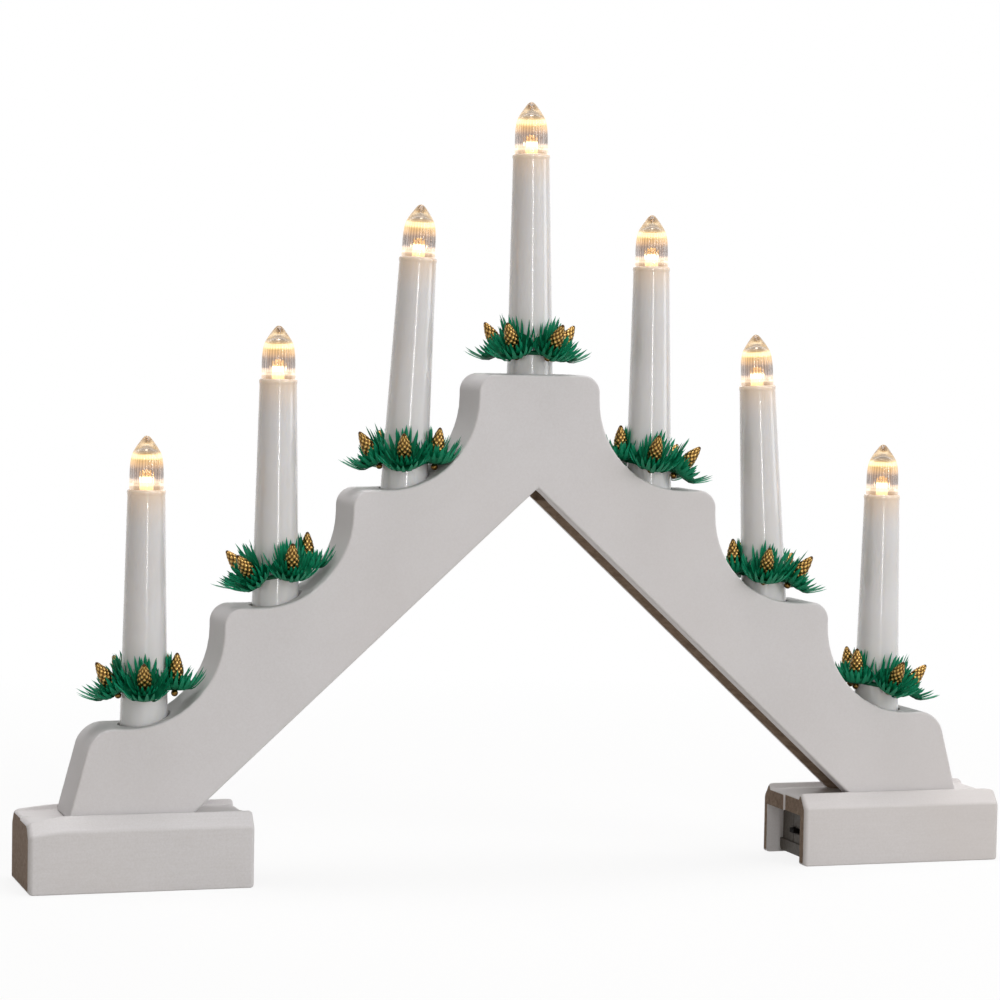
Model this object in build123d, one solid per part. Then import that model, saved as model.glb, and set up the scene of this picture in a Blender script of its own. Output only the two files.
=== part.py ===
from build123d import *
import math
import os

os.makedirs("parts", exist_ok=True)

# Arch board, a stepped bridge on two legs
board_thickness = 27.0
step_run = 50.0
step_rise = 45.3
side_steps = 3
lowest_step_height = 61.0
top_half_width = 25.0
cove_radius = 36.0
nose_radius = 7.0
leg_nose_radius = 11.0
leg_splay = 9.0
inner_apex_height = 152.4
leg_inner_half_span = 137.2
groove_radius = 9.5
groove_depth = 5.0
groove_offset = 2.2
lead_hole_radius = 2.2

# Feet, each glued up from a front and a rear half
foot_length = 86.4
foot_overhang = 16.0
foot_depth = 42.0
foot_height = 28.9
seat_drop = 2.1
ridge_width = 1.0
ridge_slope_width = 0.8
bevel_width = 5.2
bevel_drop = 5.2
channel_height = 20.0
front_wall = 5.4
rear_wall = 4.2
end_wall = 9.0
foot_edge_radius = 0.8
right_half_slip = 0.9
left_half_slip = -0.8

# Candle tubes
candle_pitch = 51.0
tube_length = 100.0
tube_base_radius = 9.3
tube_top_radius = 7.2
tube_wall = 0.9
tube_sides = 20
tube_foot_radius = 10.0
tube_foot_height = 2.0
tube_flare_height = 5.0
tube_lip = 0.25
tube_lip_height = 1.4
socket_depth = 14.0
socket_clearance = 0.2
candle_leans = (0.0, 0.0, 2.7, -0.7, -0.4, -3.2, 0.3)
sink_shares = (0.71, 0.89, 0.68, 0.96, 0.79, 0.89, 0.82)

# Lamp in the top of each tube
bulb_radius = 6.6
bulb_height = 20.5
bulb_skirt_radius = 5.95
bulb_skirt_depth = 4.0
bulb_wall = 0.8
bulb_rib_depth = 0.25
bulb_ribs = 14
bulb_level_shares = (0.0, 0.28, 0.52, 0.74, 0.9, 1.0)
bulb_width_shares = (1.0, 1.0, 0.92, 0.68, 0.34, 0.05)
lamp_sides = 12
lamp_holder_thickness = 3.0
lamp_holder_clearance = 0.1
led_sides = 8
led_radius = 2.5
led_flange_radius = 2.9
led_flange_height = 1.0
led_height = 8.6

# Pine rings round the tubes
ring_wire_radius = 0.9
ring_clearance = 0.15
ring_wire_sides = 5
ring_segments = 15
ring_height_shares = (0.14, 0.123, 0.108, 0.085, 0.094, 0.097, 0.102)
ring_turns = (-10.0, 16.0, -18.0, -48.0, -15.0, -20.0, 4.0)
ring_tilts = (-3.0, -12.0, -3.0, 2.0, 12.0, 12.0, 9.5)
tufts_per_ring = 5
tuft_reach = 1.3
tuft_sink = 0.8
tuft_tilt = 32.0
riser_push_share = 1.0
riser_shift = 1.02
cup_depth = 3.6
cup_top_radius = 3.2
cup_base_radius = 1.6
cup_sides = 13
bare_sides = 3
needle_length = 12.5
needle_width = 1.5
needle_thickness = 0.7
needle_spread = 40.0
needle_upright_share = 0.5
needle_length_shares = (1.0, 0.86, 0.97, 0.8)
cone_length = 11.5
cone_radius = 3.1
cone_sides = 6
cone_level_shares = (0.0, 0.3, 0.75, 1.0)
cone_width_shares = (0.42, 1.0, 0.78, 0.16)
bead_radius = 1.35

# Battery case under the right foot
case_recess = 5.8
case_length = 69.0
cell_sides = 16
cell_radius = 6.9
cell_length = 49.2
cell_nub_radius = 2.7
cell_nub_length = 1.2
cell_clearance = 0.1
case_wall = 0.7
case_top = 1.2
case_end = 1.2
switch_bay = 9.0
partition = 1.0
case_bottom_height = 2.3
flange_width = 0.5
flange_height = 1.1
lid_gap = 0.15
lid_wall = 0.6
lid_plate = 1.1
lid_lip_height = 2.4
lid_lip_gap = 0.2
contact_thickness = 0.4
contact_width = 8.0
contact_leaf_rise = 3.0

# Slide switch in the end of the battery case
switch_slot_length = 11.0
switch_slot_height = 3.1
switch_height = 11.0
switch_flange = 1.4
switch_depth = 5.0
switch_track_length = 8.6
switch_track_height = 2.2
switch_track_depth = 2.6
slider_length = 4.0
slider_height = 1.8
slider_proud = 1.6
slider_clearance = 0.2
slider_notch = 0.4

# Leads and screws
lead_sides = 6
lead_radius = 0.8
main_lead_radius = 1.1
lead_gap = 0.1
screw_sides = 8
screw_radius = 1.6
screw_head_radius = 3.2
screw_head_height = 1.8
screw_length = 16.0
screw_offset = 7.0
screw_inset = 13.4
screw_spacing = 20.0
screw_clearance = 0.1

# Cutters run past a face by the overrun; corners closer than same_spot are one corner
overrun = 2.0
same_spot = 0.2

seat_height = foot_height - seat_drop
top_height = lowest_step_height + side_steps * step_rise
leg_outer_half_span = top_half_width + side_steps * step_run + leg_splay
foot_outer_end = leg_outer_half_span + foot_overhang
foot_inner_end = foot_outer_end - foot_length
leg_angle = math.atan2(inner_apex_height - seat_height, leg_inner_half_span)
groove_axis_drop = groove_radius - groove_depth
groove_roof = math.sqrt(groove_radius ** 2 - groove_offset ** 2) - groove_axis_drop
channel_front = -(foot_depth / 2 - front_wall)
channel_rear = foot_depth / 2 - rear_wall


def save(name, shape):
    """Writes one node to its own file."""
    export_step(shape, "parts/" + name + ".step")


def box_between(low, high):
    """A box from its lowest corner to its highest."""
    size = [high[i] - low[i] for i in range(3)]
    middle = [(high[i] + low[i]) / 2 for i in range(3)]
    return Pos(*middle) * Box(*size)


def rod(start, end, radius):
    """A round rod between two points."""
    line = Vector(*end) - Vector(*start)
    plane = Plane(origin=start, z_dir=line)
    return Solid.extrude(Face(Wire.make_circle(radius, plane)), line)


def thin_rod(start, end, radius):
    """A rod with flat facets between two points, for leads and their holes."""
    line = Vector(*end) - Vector(*start)
    plane = Plane(origin=start, z_dir=line)
    corners = [plane.from_local_coords(p) for p in ring_points(radius, 0, lead_sides)]
    return Solid.extrude(Face(Wire.make_polygon(corners, close=True)), line)


def faceted(levels):
    """A solid with flat sides through similar rings of points; a ring of one point is a tip."""
    rings = [[Vector(*p) for p in ring] for ring in levels]
    faces = []
    for low, high in zip(rings, rings[1:]):
        sides = max(len(low), len(high))
        for k in range(sides):
            after = (k + 1) % sides
            if len(high) == 1:
                corners = [low[k], low[after], high[0]]
            elif len(low) == 1:
                corners = [low[0], high[after], high[k]]
            else:
                corners = [low[k], low[after], high[after], high[k]]
            faces.append(Face(Wire.make_polygon(corners, close=True)))
    for ring in (rings[0], rings[-1]):
        if len(ring) > 1:
            faces.append(Face(Wire.make_polygon(ring, close=True)))
    return Solid(Shell(faces))


def ring_points(radius, height, sides):
    """Evenly spaced points on a level circle; no radius gives one point."""
    if radius == 0:
        return [(0, 0, height)]
    return [
        (radius * math.cos(2 * math.pi * k / sides), radius * math.sin(2 * math.pi * k / sides), height)
        for k in range(sides)
    ]


def turned(profile, sides):
    """A many sided solid about Z, from its (radius, height) outline."""
    return faceted([ring_points(radius, height, sides) for radius, height in profile])


# Arch board

def board_outline():
    """The stepped front view as a face in the XZ plane."""
    half = [(leg_inner_half_span, seat_height), (leg_outer_half_span, seat_height)]
    for step in range(side_steps):
        edge = top_half_width + (side_steps - step) * step_run
        height = lowest_step_height + step * step_rise
        half.append((edge, height))
        half.append((edge - step_run, height))
    half.append((top_half_width, top_height))
    left = [(-x, z) for x, z in reversed(half)]
    corners = [(0, inner_apex_height)] + half + left
    face = Face(Wire.make_polygon([Vector(x, 0, z) for x, z in corners], close=True))
    lowest_edge = top_half_width + side_steps * step_run
    coves, noses, leg_noses = [], [], []
    for vertex in face.vertices():
        x, z = abs(vertex.X), vertex.Z
        inner = any(
            math.isclose(x, top_half_width + k * step_run, abs_tol=same_spot)
            and math.isclose(z, top_height - (k + 1) * step_rise, abs_tol=same_spot)
            for k in range(side_steps)
        )
        if inner:
            coves.append(vertex)
        elif math.isclose(x, lowest_edge, abs_tol=same_spot):
            leg_noses.append(vertex)
        elif z > lowest_step_height and x > 0:
            noses.append(vertex)
    for group, radius in ((coves, cove_radius), (noses, nose_radius), (leg_noses, leg_nose_radius)):
        spots = [Vector(*v) for v in group]
        chosen = [v for v in face.vertices() if any((Vector(*v) - s).length < same_spot for s in spots)]
        face = face.fillet_2d(radius, chosen)
    return face


def candle_place(index):
    """Where a candle's axis leaves its step, with its lean."""
    side = index - side_steps
    height = top_height - abs(side) * step_rise
    return Pos(side * candle_pitch, 0, height) * Rot(0, candle_leans[index], 0)


def socket_floor(index):
    """The middle of a candle hole's floor."""
    spot = candle_place(index) * Pos(0, 0, -socket_depth)
    return spot.position


def lead_way_end(index):
    """Where the lead of a candle comes out in the groove under the board."""
    side = index - side_steps
    floor = socket_floor(index)
    if side == 0:
        return Vector(0, 0, inner_apex_height)
    normal = Vector(math.copysign(math.sin(leg_angle), side), 0, math.cos(leg_angle))
    depth = (floor - Vector(0, 0, inner_apex_height)).dot(normal)
    return floor - normal * depth


def groove_cutter(side):
    """A round bar along the underside of one leg, nearer its rear, which leaves a cove shaped groove."""
    along = Vector(side * math.cos(leg_angle), 0, -math.sin(leg_angle))
    normal = Vector(-side * math.sin(leg_angle), 0, -math.cos(leg_angle))
    top = Vector(0, groove_offset, inner_apex_height) + normal * groove_axis_drop
    run = math.hypot(leg_inner_half_span, inner_apex_height - seat_height) + 2 * groove_radius
    return rod(top - along * groove_depth, top + along * run, groove_radius)


def arch_board():
    """The stepped board with candle holes, lead ways, grooves and screw holes."""
    face = board_outline()
    board = Solid.extrude(face, Vector(0, board_thickness, 0)).moved(Location((0, -board_thickness / 2, 0)))
    holes = []
    for index in range(2 * side_steps + 1):
        drill = candle_place(index) * Pos(0, 0, (cove_radius - socket_depth) / 2)
        radius = tube_foot_radius + socket_clearance
        reach = (cove_radius + socket_depth) / 2
        holes.append(drill * turned([(radius, -reach), (radius, reach)], tube_sides))
        floor = socket_floor(index)
        holes.append(thin_rod(floor + Vector(0, 0, overrun), lead_way_end(index), lead_hole_radius))
    for side in (-1, 1):
        holes.append(groove_cutter(side))
        for spot in screw_spots(side):
            radius = screw_radius + screw_clearance
            holes.append(Pos(spot[0], spot[1], 0) * turned([(radius, 0), (radius, screw_tip_height())], screw_sides))
    for hole in holes:
        board = board - hole
    return board


# Feet

def screw_spots(side):
    """The two places in a foot where a screw goes up into the leg."""
    outer = leg_outer_half_span - screw_inset
    return [(side * (outer - screw_spacing), -screw_offset), (side * outer, screw_offset)]


def screw_tip_height():
    """How high the screw tips reach."""
    return channel_height + screw_length


def foot_half(side, depth_side, slip):
    """One half of a foot: side is -1 left or 1 right, depth_side is -1 front or 1 rear."""
    wall = front_wall if depth_side < 0 else rear_wall
    outer = foot_depth / 2
    ridge = outer - bevel_width
    seat_edge = ridge - ridge_width - ridge_slope_width
    profile = [
        (0, channel_height),
        (0, seat_height),
        (seat_edge, seat_height),
        (ridge - ridge_width, foot_height),
        (ridge, foot_height),
        (outer, foot_height - bevel_drop),
        (outer, 0),
        (outer - wall, 0),
        (outer - wall, channel_height),
    ]
    mouth = side * (foot_inner_end - slip)
    end = side * foot_outer_end
    points = [Vector(mouth, depth_side * y, z) for y, z in profile]
    body = Solid.extrude(Face(Wire.make_polygon(points, close=True)), Vector(end - mouth, 0, 0))
    block = [(0, 0), (outer - wall, 0), (outer - wall, channel_height), (0, channel_height)]
    points = [Vector(end, depth_side * y, z) for y, z in block]
    body = body + Solid.extrude(Face(Wire.make_polygon(points, close=True)), Vector(-side * end_wall, 0, 0))
    body = body.clean()
    rounded = [e for e in body.edges() if rounds_over(e, depth_side)]
    body = fillet(rounded, foot_edge_radius)
    for spot in screw_spots(side):
        if spot[1] * depth_side > 0:
            body = body - screw(spot, screw_clearance)
    if side > 0:
        body = body - thin_rod(lead_drop()[0], lead_drop()[1], lead_hole_radius)
    return body


def rounds_over(edge, depth_side):
    """True for the edges that bound the long outer face of a foot half."""
    return all(abs(v.Y * depth_side - foot_depth / 2) < same_spot for v in edge.vertices())


def screw(spot, grow=0.0):
    """A countersunk screw that stands head down in the ceiling of a foot's channel."""
    body = turned([
        (screw_head_radius + grow, 0),
        (screw_radius + grow, screw_head_height),
        (screw_radius + grow, screw_length),
    ], screw_sides)
    return Pos(spot[0], spot[1], channel_height) * body


# Candles

def tube_radius(height):
    """The outer radius of a tube at a height above its foot."""
    share = (height - tube_flare_height) / (tube_length - tube_flare_height)
    return tube_base_radius + (tube_top_radius - tube_base_radius) * share


def candle_tube():
    """A tapered tube, wider at its foot and with a thin lip round its mouth."""
    lip_foot = tube_length - tube_lip_height
    outside = turned([
        (tube_foot_radius, 0),
        (tube_foot_radius, tube_foot_height),
        (tube_base_radius, tube_flare_height),
        (tube_radius(lip_foot), lip_foot),
        (tube_top_radius + tube_lip, lip_foot),
        (tube_top_radius + tube_lip, tube_length),
    ], tube_sides)
    slope = (tube_base_radius - tube_top_radius) / (tube_length - tube_flare_height)
    bore = turned([
        (tube_base_radius - tube_wall + slope * (tube_flare_height + overrun), -overrun),
        (tube_top_radius - tube_wall - slope * overrun, tube_length + overrun),
    ], tube_sides)
    return outside - bore


def bulb():
    """A ribbed bullet shaped cap with a skirt that plugs into the tube."""
    levels = []
    for level, width in zip(bulb_level_shares, bulb_width_shares):
        crest = bulb_radius * width
        valley = crest - bulb_rib_depth * width
        sides = 2 * bulb_ribs
        ring = []
        for k in range(sides):
            radius = crest if k % 2 == 0 else valley
            angle = 2 * math.pi * k / sides
            ring.append((radius * math.cos(angle), radius * math.sin(angle), bulb_height * level))
        levels.append(ring)
    body = faceted(levels)
    inner_radius = bulb_skirt_radius - bulb_wall
    skirt = turned([(bulb_skirt_radius, -bulb_skirt_depth), (bulb_skirt_radius, bulb_wall)], lamp_sides)
    hollow = turned([
        (inner_radius, -bulb_skirt_depth - overrun),
        (inner_radius, bulb_height * bulb_level_shares[2]),
        (inner_radius / 2, bulb_height * bulb_level_shares[3]),
    ], lamp_sides)
    return body + skirt - hollow


def lamp_holder():
    """A disc inside the skirt of the bulb that carries the lamp."""
    radius = bulb_skirt_radius - bulb_wall - lamp_holder_clearance
    foot = -bulb_skirt_depth
    return turned([(radius, foot), (radius, foot + lamp_holder_thickness)], lamp_sides)


def led():
    """A round topped lamp on a thin flange."""
    shoulder = led_height - led_radius
    return turned([
        (led_flange_radius, 0),
        (led_flange_radius, led_flange_height),
        (led_radius, led_flange_height),
        (led_radius, shoulder),
        (led_radius * math.cos(math.pi / 4), shoulder + led_radius * math.sin(math.pi / 4)),
        (led_radius * math.cos(math.pi / 4) / 2, led_height),
    ], led_sides)


def tube_place(index):
    """Where the foot of a tube stands in its hole."""
    return candle_place(index) * Pos(0, 0, -socket_depth * sink_shares[index])


def lamp_place(index):
    """Where a bulb's shoulder sits on the mouth of its tube."""
    return tube_place(index) * Pos(0, 0, tube_length)


# Pine rings

def ring_place(index):
    """The middle of a ring on its tube, tilted and turned."""
    height = tube_length * ring_height_shares[index]
    return candle_place(index) * Pos(0, 0, height) * Rot(0, ring_tilts[index], 0) * Rot(0, 0, ring_turns[index])


def ring_radius(index):
    """The radius of a ring's wire, which hugs the tube at the ring's height."""
    height = tube_length * ring_height_shares[index] + socket_depth * sink_shares[index]
    reach = tube_radius(height) / math.cos(math.radians(ring_tilts[index]))
    return reach + ring_clearance + ring_wire_radius


def tuft_place(index, tuft):
    """The base of one tuft, outside the wire, leaning outwards unless the riser stands behind it."""
    angle = 360 * tuft / tufts_per_ring - 90
    side = index - side_steps
    towards_riser = -math.copysign(min(abs(side), 1), side) * math.cos(math.radians(angle + ring_turns[index]))
    push = riser_push_share * max(0, towards_riser)
    reach = ring_radius(index) + tuft_reach + riser_shift * push
    lean = tuft_tilt * (1 - push) + abs(ring_tilts[index]) * push
    return Rot(0, 0, angle) * Pos(reach, 0, -tuft_sink) * Rot(0, lean, 0)


def needle_tip(order):
    """The point of the needle that grows from one side of the cup."""
    turn = 360 * (order + 1 / 2) / cup_sides
    ahead = math.cos(math.radians(turn))
    spread = math.radians(needle_spread * (1 - needle_upright_share * (1 - ahead) / 2))
    length = needle_length * needle_length_shares[order % len(needle_length_shares)]
    reach = cup_top_radius - needle_thickness / 2 + length * math.sin(spread)
    height = cup_depth - needle_width / 2 + length * math.cos(spread)
    return (reach * ahead, reach * math.sin(math.radians(turn)), height)


def tuft():
    """A cup with a fan of four sided needles round its rim, all but on the side of the tube."""
    base = [Vector(*p) for p in ring_points(cup_base_radius, 0, cup_sides)]
    waist_height = cup_depth - needle_width
    waist = [Vector(*p) for p in ring_points(cup_top_radius - needle_thickness, waist_height, cup_sides)]
    rim = [Vector(*p) for p in ring_points(cup_top_radius, cup_depth, cup_sides)]
    outlines = [base, rim]
    for k in range(cup_sides):
        after = (k + 1) % cup_sides
        outlines.append([base[k], base[after], waist[after], waist[k]])
        root = [waist[k], waist[after], rim[after], rim[k]]
        if abs((k + 1 / 2) / cup_sides - 1 / 2) * cup_sides < bare_sides / 2:
            outlines.append(root)
            continue
        tip = Vector(*needle_tip(k))
        outlines.extend([root[n], root[(n + 1) % 4], tip] for n in range(4))
    return Solid(Shell([Face(Wire.make_polygon(points, close=True)) for points in outlines]))


def ring_wire(radius):
    """A closed ring of thin wire with flat facets."""
    sections = []
    for segment in range(ring_segments):
        turn = 2 * math.pi * segment / ring_segments
        section = []
        for k in range(ring_wire_sides):
            angle = 2 * math.pi * k / ring_wire_sides
            reach = radius + ring_wire_radius * math.cos(angle)
            height = ring_wire_radius * math.sin(angle)
            section.append(Vector(reach * math.cos(turn), reach * math.sin(turn), height))
        sections.append(section)
    faces = []
    for here, there in zip(sections, sections[1:] + sections[:1]):
        for k in range(ring_wire_sides):
            after = (k + 1) % ring_wire_sides
            corners = [here[k], here[after], there[after], there[k]]
            faces.append(Face(Wire.make_polygon(corners, close=True)))
    return Solid(Shell(faces))


def ring_tufts(index):
    """The wire ring with its tufts in one piece."""
    wire = ring_wire(ring_radius(index))
    joined = wire.fuse(*[tuft_place(index, number) * tuft() for number in range(tufts_per_ring)])
    return ring_place(index) * joined


def pine_cone():
    """A small cone shape, standing on the floor of the tuft."""
    profile = zip(cone_width_shares, cone_level_shares)
    return turned([(cone_radius * width, cone_length * level) for width, level in profile], cone_sides)


def bead():
    """The round end of a stem, under the tuft."""
    return turned([(bead_radius / 2, -2 * bead_radius), (bead_radius, -bead_radius), (bead_radius / 2, 0)],
                  cone_sides)


def ring_cones(index):
    """The gilded cones and stem ends of one ring."""
    pieces = []
    for number in range(tufts_per_ring):
        place = ring_place(index) * tuft_place(index, number)
        pieces.append(place * Pos(0, 0, cup_depth) * pine_cone())
        pieces.append(place * bead())
    return Compound(children=pieces)


# Battery case

case_middle = (channel_front + channel_rear) / 2
cell_half = 2 * cell_radius + 2 * cell_clearance
case_half = cell_half + case_wall
flange_half = case_half + flange_width
lid_half = flange_half + lid_gap + lid_wall
case_start = foot_inner_end + case_recess
case_stop = case_start + case_length
bay_start = case_start + case_end + switch_bay + partition
bay_stop = case_stop - case_end
switch_middle = case_middle + cell_clearance


def battery_case():
    """An open bottomed box with a switch bay and a bay for two cells."""
    body = box_between(
        (case_start, case_middle - case_half, case_bottom_height),
        (case_stop, case_middle + case_half, channel_height),
    )
    flange = box_between(
        (case_start, case_middle - flange_half, case_bottom_height),
        (case_stop, case_middle + flange_half, case_bottom_height + flange_height),
    )
    ceiling = channel_height - case_top
    cavity = box_between(
        (bay_start, case_middle - cell_half, case_bottom_height - overrun),
        (bay_stop, case_middle + cell_half, ceiling),
    )
    front_bay = box_between(
        (case_start + case_end, case_middle - cell_half, case_bottom_height - overrun),
        (bay_start - partition, case_middle + cell_half, ceiling),
    )
    slot = box_between(
        (case_start - overrun, switch_middle - switch_slot_length / 2, switch_height - switch_slot_height / 2),
        (case_start + case_end + overrun / 2, switch_middle + switch_slot_length / 2,
         switch_height + switch_slot_height / 2),
    )
    entry = thin_rod(lead_drop()[0], lead_drop()[1], lead_hole_radius)
    return body + flange - cavity - front_bay - slot - entry


def battery_lid():
    """A plate whose side lips hook over the flange of the case; it slides out of the foot's mouth."""
    floor = case_bottom_height - lid_gap - lid_plate
    lip_foot = case_bottom_height + flange_height + lid_gap
    front = case_start - lid_gap - lid_wall
    outer = box_between(
        (front, case_middle - lid_half, floor),
        (case_stop, case_middle + lid_half, lip_foot + lid_lip_height),
    )
    inside = flange_half + lid_gap
    room = box_between(
        (front + lid_wall, case_middle - inside, floor + lid_plate),
        (case_stop + overrun, case_middle + inside, lip_foot),
    )
    mouth = case_half + lid_lip_gap
    gap = box_between(
        (front + lid_wall, case_middle - mouth, lip_foot - overrun / 2),
        (case_stop + overrun, case_middle + mouth, lip_foot + lid_lip_height + overrun),
    )
    return outer - room - gap


def cell(direction):
    """A round cell that lies along X, its nub towards direction."""
    foot = -(cell_length + cell_nub_length) / 2
    shoulder = foot + cell_length
    return Rot(0, direction * 90, 0) * turned([
        (cell_radius, foot),
        (cell_radius, shoulder),
        (cell_nub_radius, shoulder),
        (cell_nub_radius, shoulder + cell_nub_length),
    ], cell_sides)


def cell_height():
    """The height of the cells' axes, against the ceiling of the bay."""
    return channel_height - case_top - cell_radius - cell_clearance


def cell_centre(row):
    """The middle of a cell with its nub, in row -1 or 1; each nub touches its end plate."""
    reach = (cell_length + cell_nub_length) / 2 + contact_thickness
    x = bay_stop - reach if row > 0 else bay_start + reach
    return x, case_middle + row * (cell_radius + cell_clearance / 2), cell_height()


def batteries():
    """Two cells side by side, nubs at opposite ends."""
    return Compound(children=[Pos(*cell_centre(row)) * cell(row) for row in (-1, 1)])


def end_plate(x, direction, row):
    """A flat contact on an end wall of the cell bay."""
    y = case_middle + row * (cell_radius + cell_clearance / 2)
    z = cell_height()
    half = contact_width / 2
    face = sorted((x, x + direction * contact_thickness))
    return box_between((face[0], y - half, z - half), (face[1], y + half, z + half))


def contact_plates():
    """The flat contacts that the nubs of the cells touch."""
    return Compound(children=[end_plate(bay_stop, -1, 1), end_plate(bay_start, 1, -1)])


def leaf(x, direction, row):
    """A folded leaf spring that pushes on the flat end of a cell."""
    room = bay_stop - bay_start - cell_length - cell_nub_length - 2 * contact_thickness
    y = case_middle + row * (cell_radius + cell_clearance / 2)
    z = cell_height()
    rise = contact_width / 2
    far = room + contact_thickness
    t = contact_thickness
    outline = [
        (0, z - rise),
        (t, z - rise),
        (far, z - rise + contact_leaf_rise),
        (far, z + rise / 2),
        (far - t, z + rise / 2),
        (far - t, z - rise + contact_leaf_rise + t / 2),
        (t, z - rise + t + t / 2),
        (t, z + rise),
        (0, z + rise),
    ]
    points = [Vector(x + direction * dx, y - contact_width / 4, dz) for dx, dz in outline]
    return Solid.extrude(Face(Wire.make_polygon(points, close=True)), Vector(0, contact_width / 2, 0))


def contact_springs():
    """The two leaf springs at the flat ends of the cells."""
    return Compound(children=[leaf(bay_start, 1, 1), leaf(bay_stop, -1, -1)])


# Slide switch

def switch_body():
    """The housing of the switch: a nose in the slot and a flange behind the wall."""
    half_length, half_height = switch_slot_length / 2, switch_slot_height / 2
    nose = box_between(
        (case_start, switch_middle - half_length, switch_height - half_height),
        (case_start + switch_depth, switch_middle + half_length, switch_height + half_height),
    )
    wide, tall = half_length + switch_flange, half_height + switch_flange
    flange = box_between(
        (case_start + case_end, switch_middle - wide, switch_height - tall),
        (case_start + switch_depth, switch_middle + wide, switch_height + tall),
    )
    track = box_between(
        (case_start - overrun, switch_middle - switch_track_length / 2, switch_height - switch_track_height / 2),
        (case_start + switch_track_depth, switch_middle + switch_track_length / 2,
         switch_height + switch_track_height / 2),
    )
    return nose + flange - track


def switch_slider():
    """The knob of the switch, at the rear end of its track."""
    rear = switch_middle + switch_track_length / 2 - slider_clearance
    knob = box_between(
        (case_start - slider_proud, rear - slider_length, switch_height - slider_height / 2),
        (case_start + switch_track_depth - slider_clearance, rear, switch_height + slider_height / 2),
    )
    notches = []
    for k in (-1, 0, 1):
        y = rear - slider_length / 2 + k * slider_length / 4
        spot = Pos(case_start - slider_proud, y, switch_height) * Rot(0, 0, 45)
        notches.append(spot * Box(slider_notch, slider_notch, slider_height + overrun))
    for notch in notches:
        knob = knob - notch
    return knob


# Leads

def groove_line(side):
    """The line on which the main lead lies at the bottom of a leg's groove."""
    along = Vector(side * math.cos(leg_angle), 0, -math.sin(leg_angle))
    normal = Vector(side * math.sin(leg_angle), 0, math.cos(leg_angle))
    room = groove_radius - main_lead_radius - lead_gap
    depth = math.sqrt(room ** 2 - groove_offset ** 2) - groove_axis_drop
    start = Vector(0, 0, inner_apex_height) + normal * depth
    return start, along


def lead_drop():
    """The way of the main lead from the right groove down into the battery case."""
    start, along = groove_line(1)
    length = (start.Z - seat_height - main_lead_radius) / math.sin(leg_angle)
    top = start + along * length
    return top, Vector(top.X, 0, channel_height - case_top - overrun / 4)


def main_lead():
    """One lead along both grooves and down into the battery case."""
    top, bottom = lead_drop()
    left, along = groove_line(-1)
    length = (left.Z - lowest_step_height) / math.sin(leg_angle) + lowest_step_height / 3
    peak = Vector(0, 0, left.Z - left.X * math.tan(leg_angle))
    lead = thin_rod(peak, left + along * length, main_lead_radius)
    lead = lead + thin_rod(peak, top, main_lead_radius)
    return lead + thin_rod(top, bottom, main_lead_radius)


def candle_lead(index):
    """The lead of one candle, from the lamp holder down to the groove."""
    start = (lamp_place(index) * Pos(0, 0, -bulb_skirt_depth)).position
    floor = (candle_place(index) * Pos(0, 0, -socket_depth + lead_gap)).position
    end = lead_way_end(index)
    clear = groove_roof + lead_gap
    if index == side_steps:
        clear = clear / math.cos(leg_angle)
    reach = end + (floor - end).normalized() * clear
    return thin_rod(start, floor, lead_radius) + thin_rod(floor, reach, lead_radius)


# Everything in its place

save("arch_board", arch_board())
for side, side_name, slip in ((-1, "left", left_half_slip), (1, "right", right_half_slip)):
    save(side_name + "_foot_front", foot_half(side, -1, 0))
    save(side_name + "_foot_rear", foot_half(side, 1, slip))
for index in range(2 * side_steps + 1):
    number = str(index + 1)
    save("candle_tube_" + number, tube_place(index) * candle_tube())
    save("bulb_" + number, lamp_place(index) * bulb())
    save("lamp_holder_" + number, lamp_place(index) * lamp_holder())
    lamp_foot = lamp_holder_thickness - bulb_skirt_depth
    save("led_" + number, lamp_place(index) * Pos(0, 0, lamp_foot) * led())
    save("ring_tufts_" + number, ring_tufts(index))
    save("ring_cones_" + number, ring_cones(index))
save("candle_leads", Compound(children=[candle_lead(index) for index in range(2 * side_steps + 1)]))
save("main_lead", main_lead())
save("foot_screws", Compound(children=[screw(spot) for side in (-1, 1) for spot in screw_spots(side)]))
save("battery_case", battery_case())
save("battery_lid", battery_lid())
save("batteries", batteries())
save("contact_plates", contact_plates())
save("contact_springs", contact_springs())
save("switch_body", switch_body())
save("switch_slider", switch_slider())
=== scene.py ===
import bmesh
import bpy
import math
import random
from mathutils import Matrix, Vector
from mathutils.bvhtree import BVHTree

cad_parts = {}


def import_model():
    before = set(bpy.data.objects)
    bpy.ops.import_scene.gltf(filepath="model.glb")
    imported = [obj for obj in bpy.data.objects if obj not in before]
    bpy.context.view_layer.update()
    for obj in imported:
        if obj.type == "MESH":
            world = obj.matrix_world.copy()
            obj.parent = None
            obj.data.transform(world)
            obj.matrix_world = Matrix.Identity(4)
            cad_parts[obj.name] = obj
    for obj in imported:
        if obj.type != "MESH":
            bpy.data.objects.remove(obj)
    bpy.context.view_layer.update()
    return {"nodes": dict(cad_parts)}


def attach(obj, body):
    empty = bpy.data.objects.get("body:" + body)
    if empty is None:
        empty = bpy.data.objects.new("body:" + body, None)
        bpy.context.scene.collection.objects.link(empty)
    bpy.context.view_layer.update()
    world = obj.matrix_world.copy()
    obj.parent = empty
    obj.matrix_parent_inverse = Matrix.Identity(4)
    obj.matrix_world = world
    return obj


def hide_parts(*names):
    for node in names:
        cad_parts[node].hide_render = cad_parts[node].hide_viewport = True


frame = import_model()
MM = 0.001
SCENE = bpy.context.scene

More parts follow.
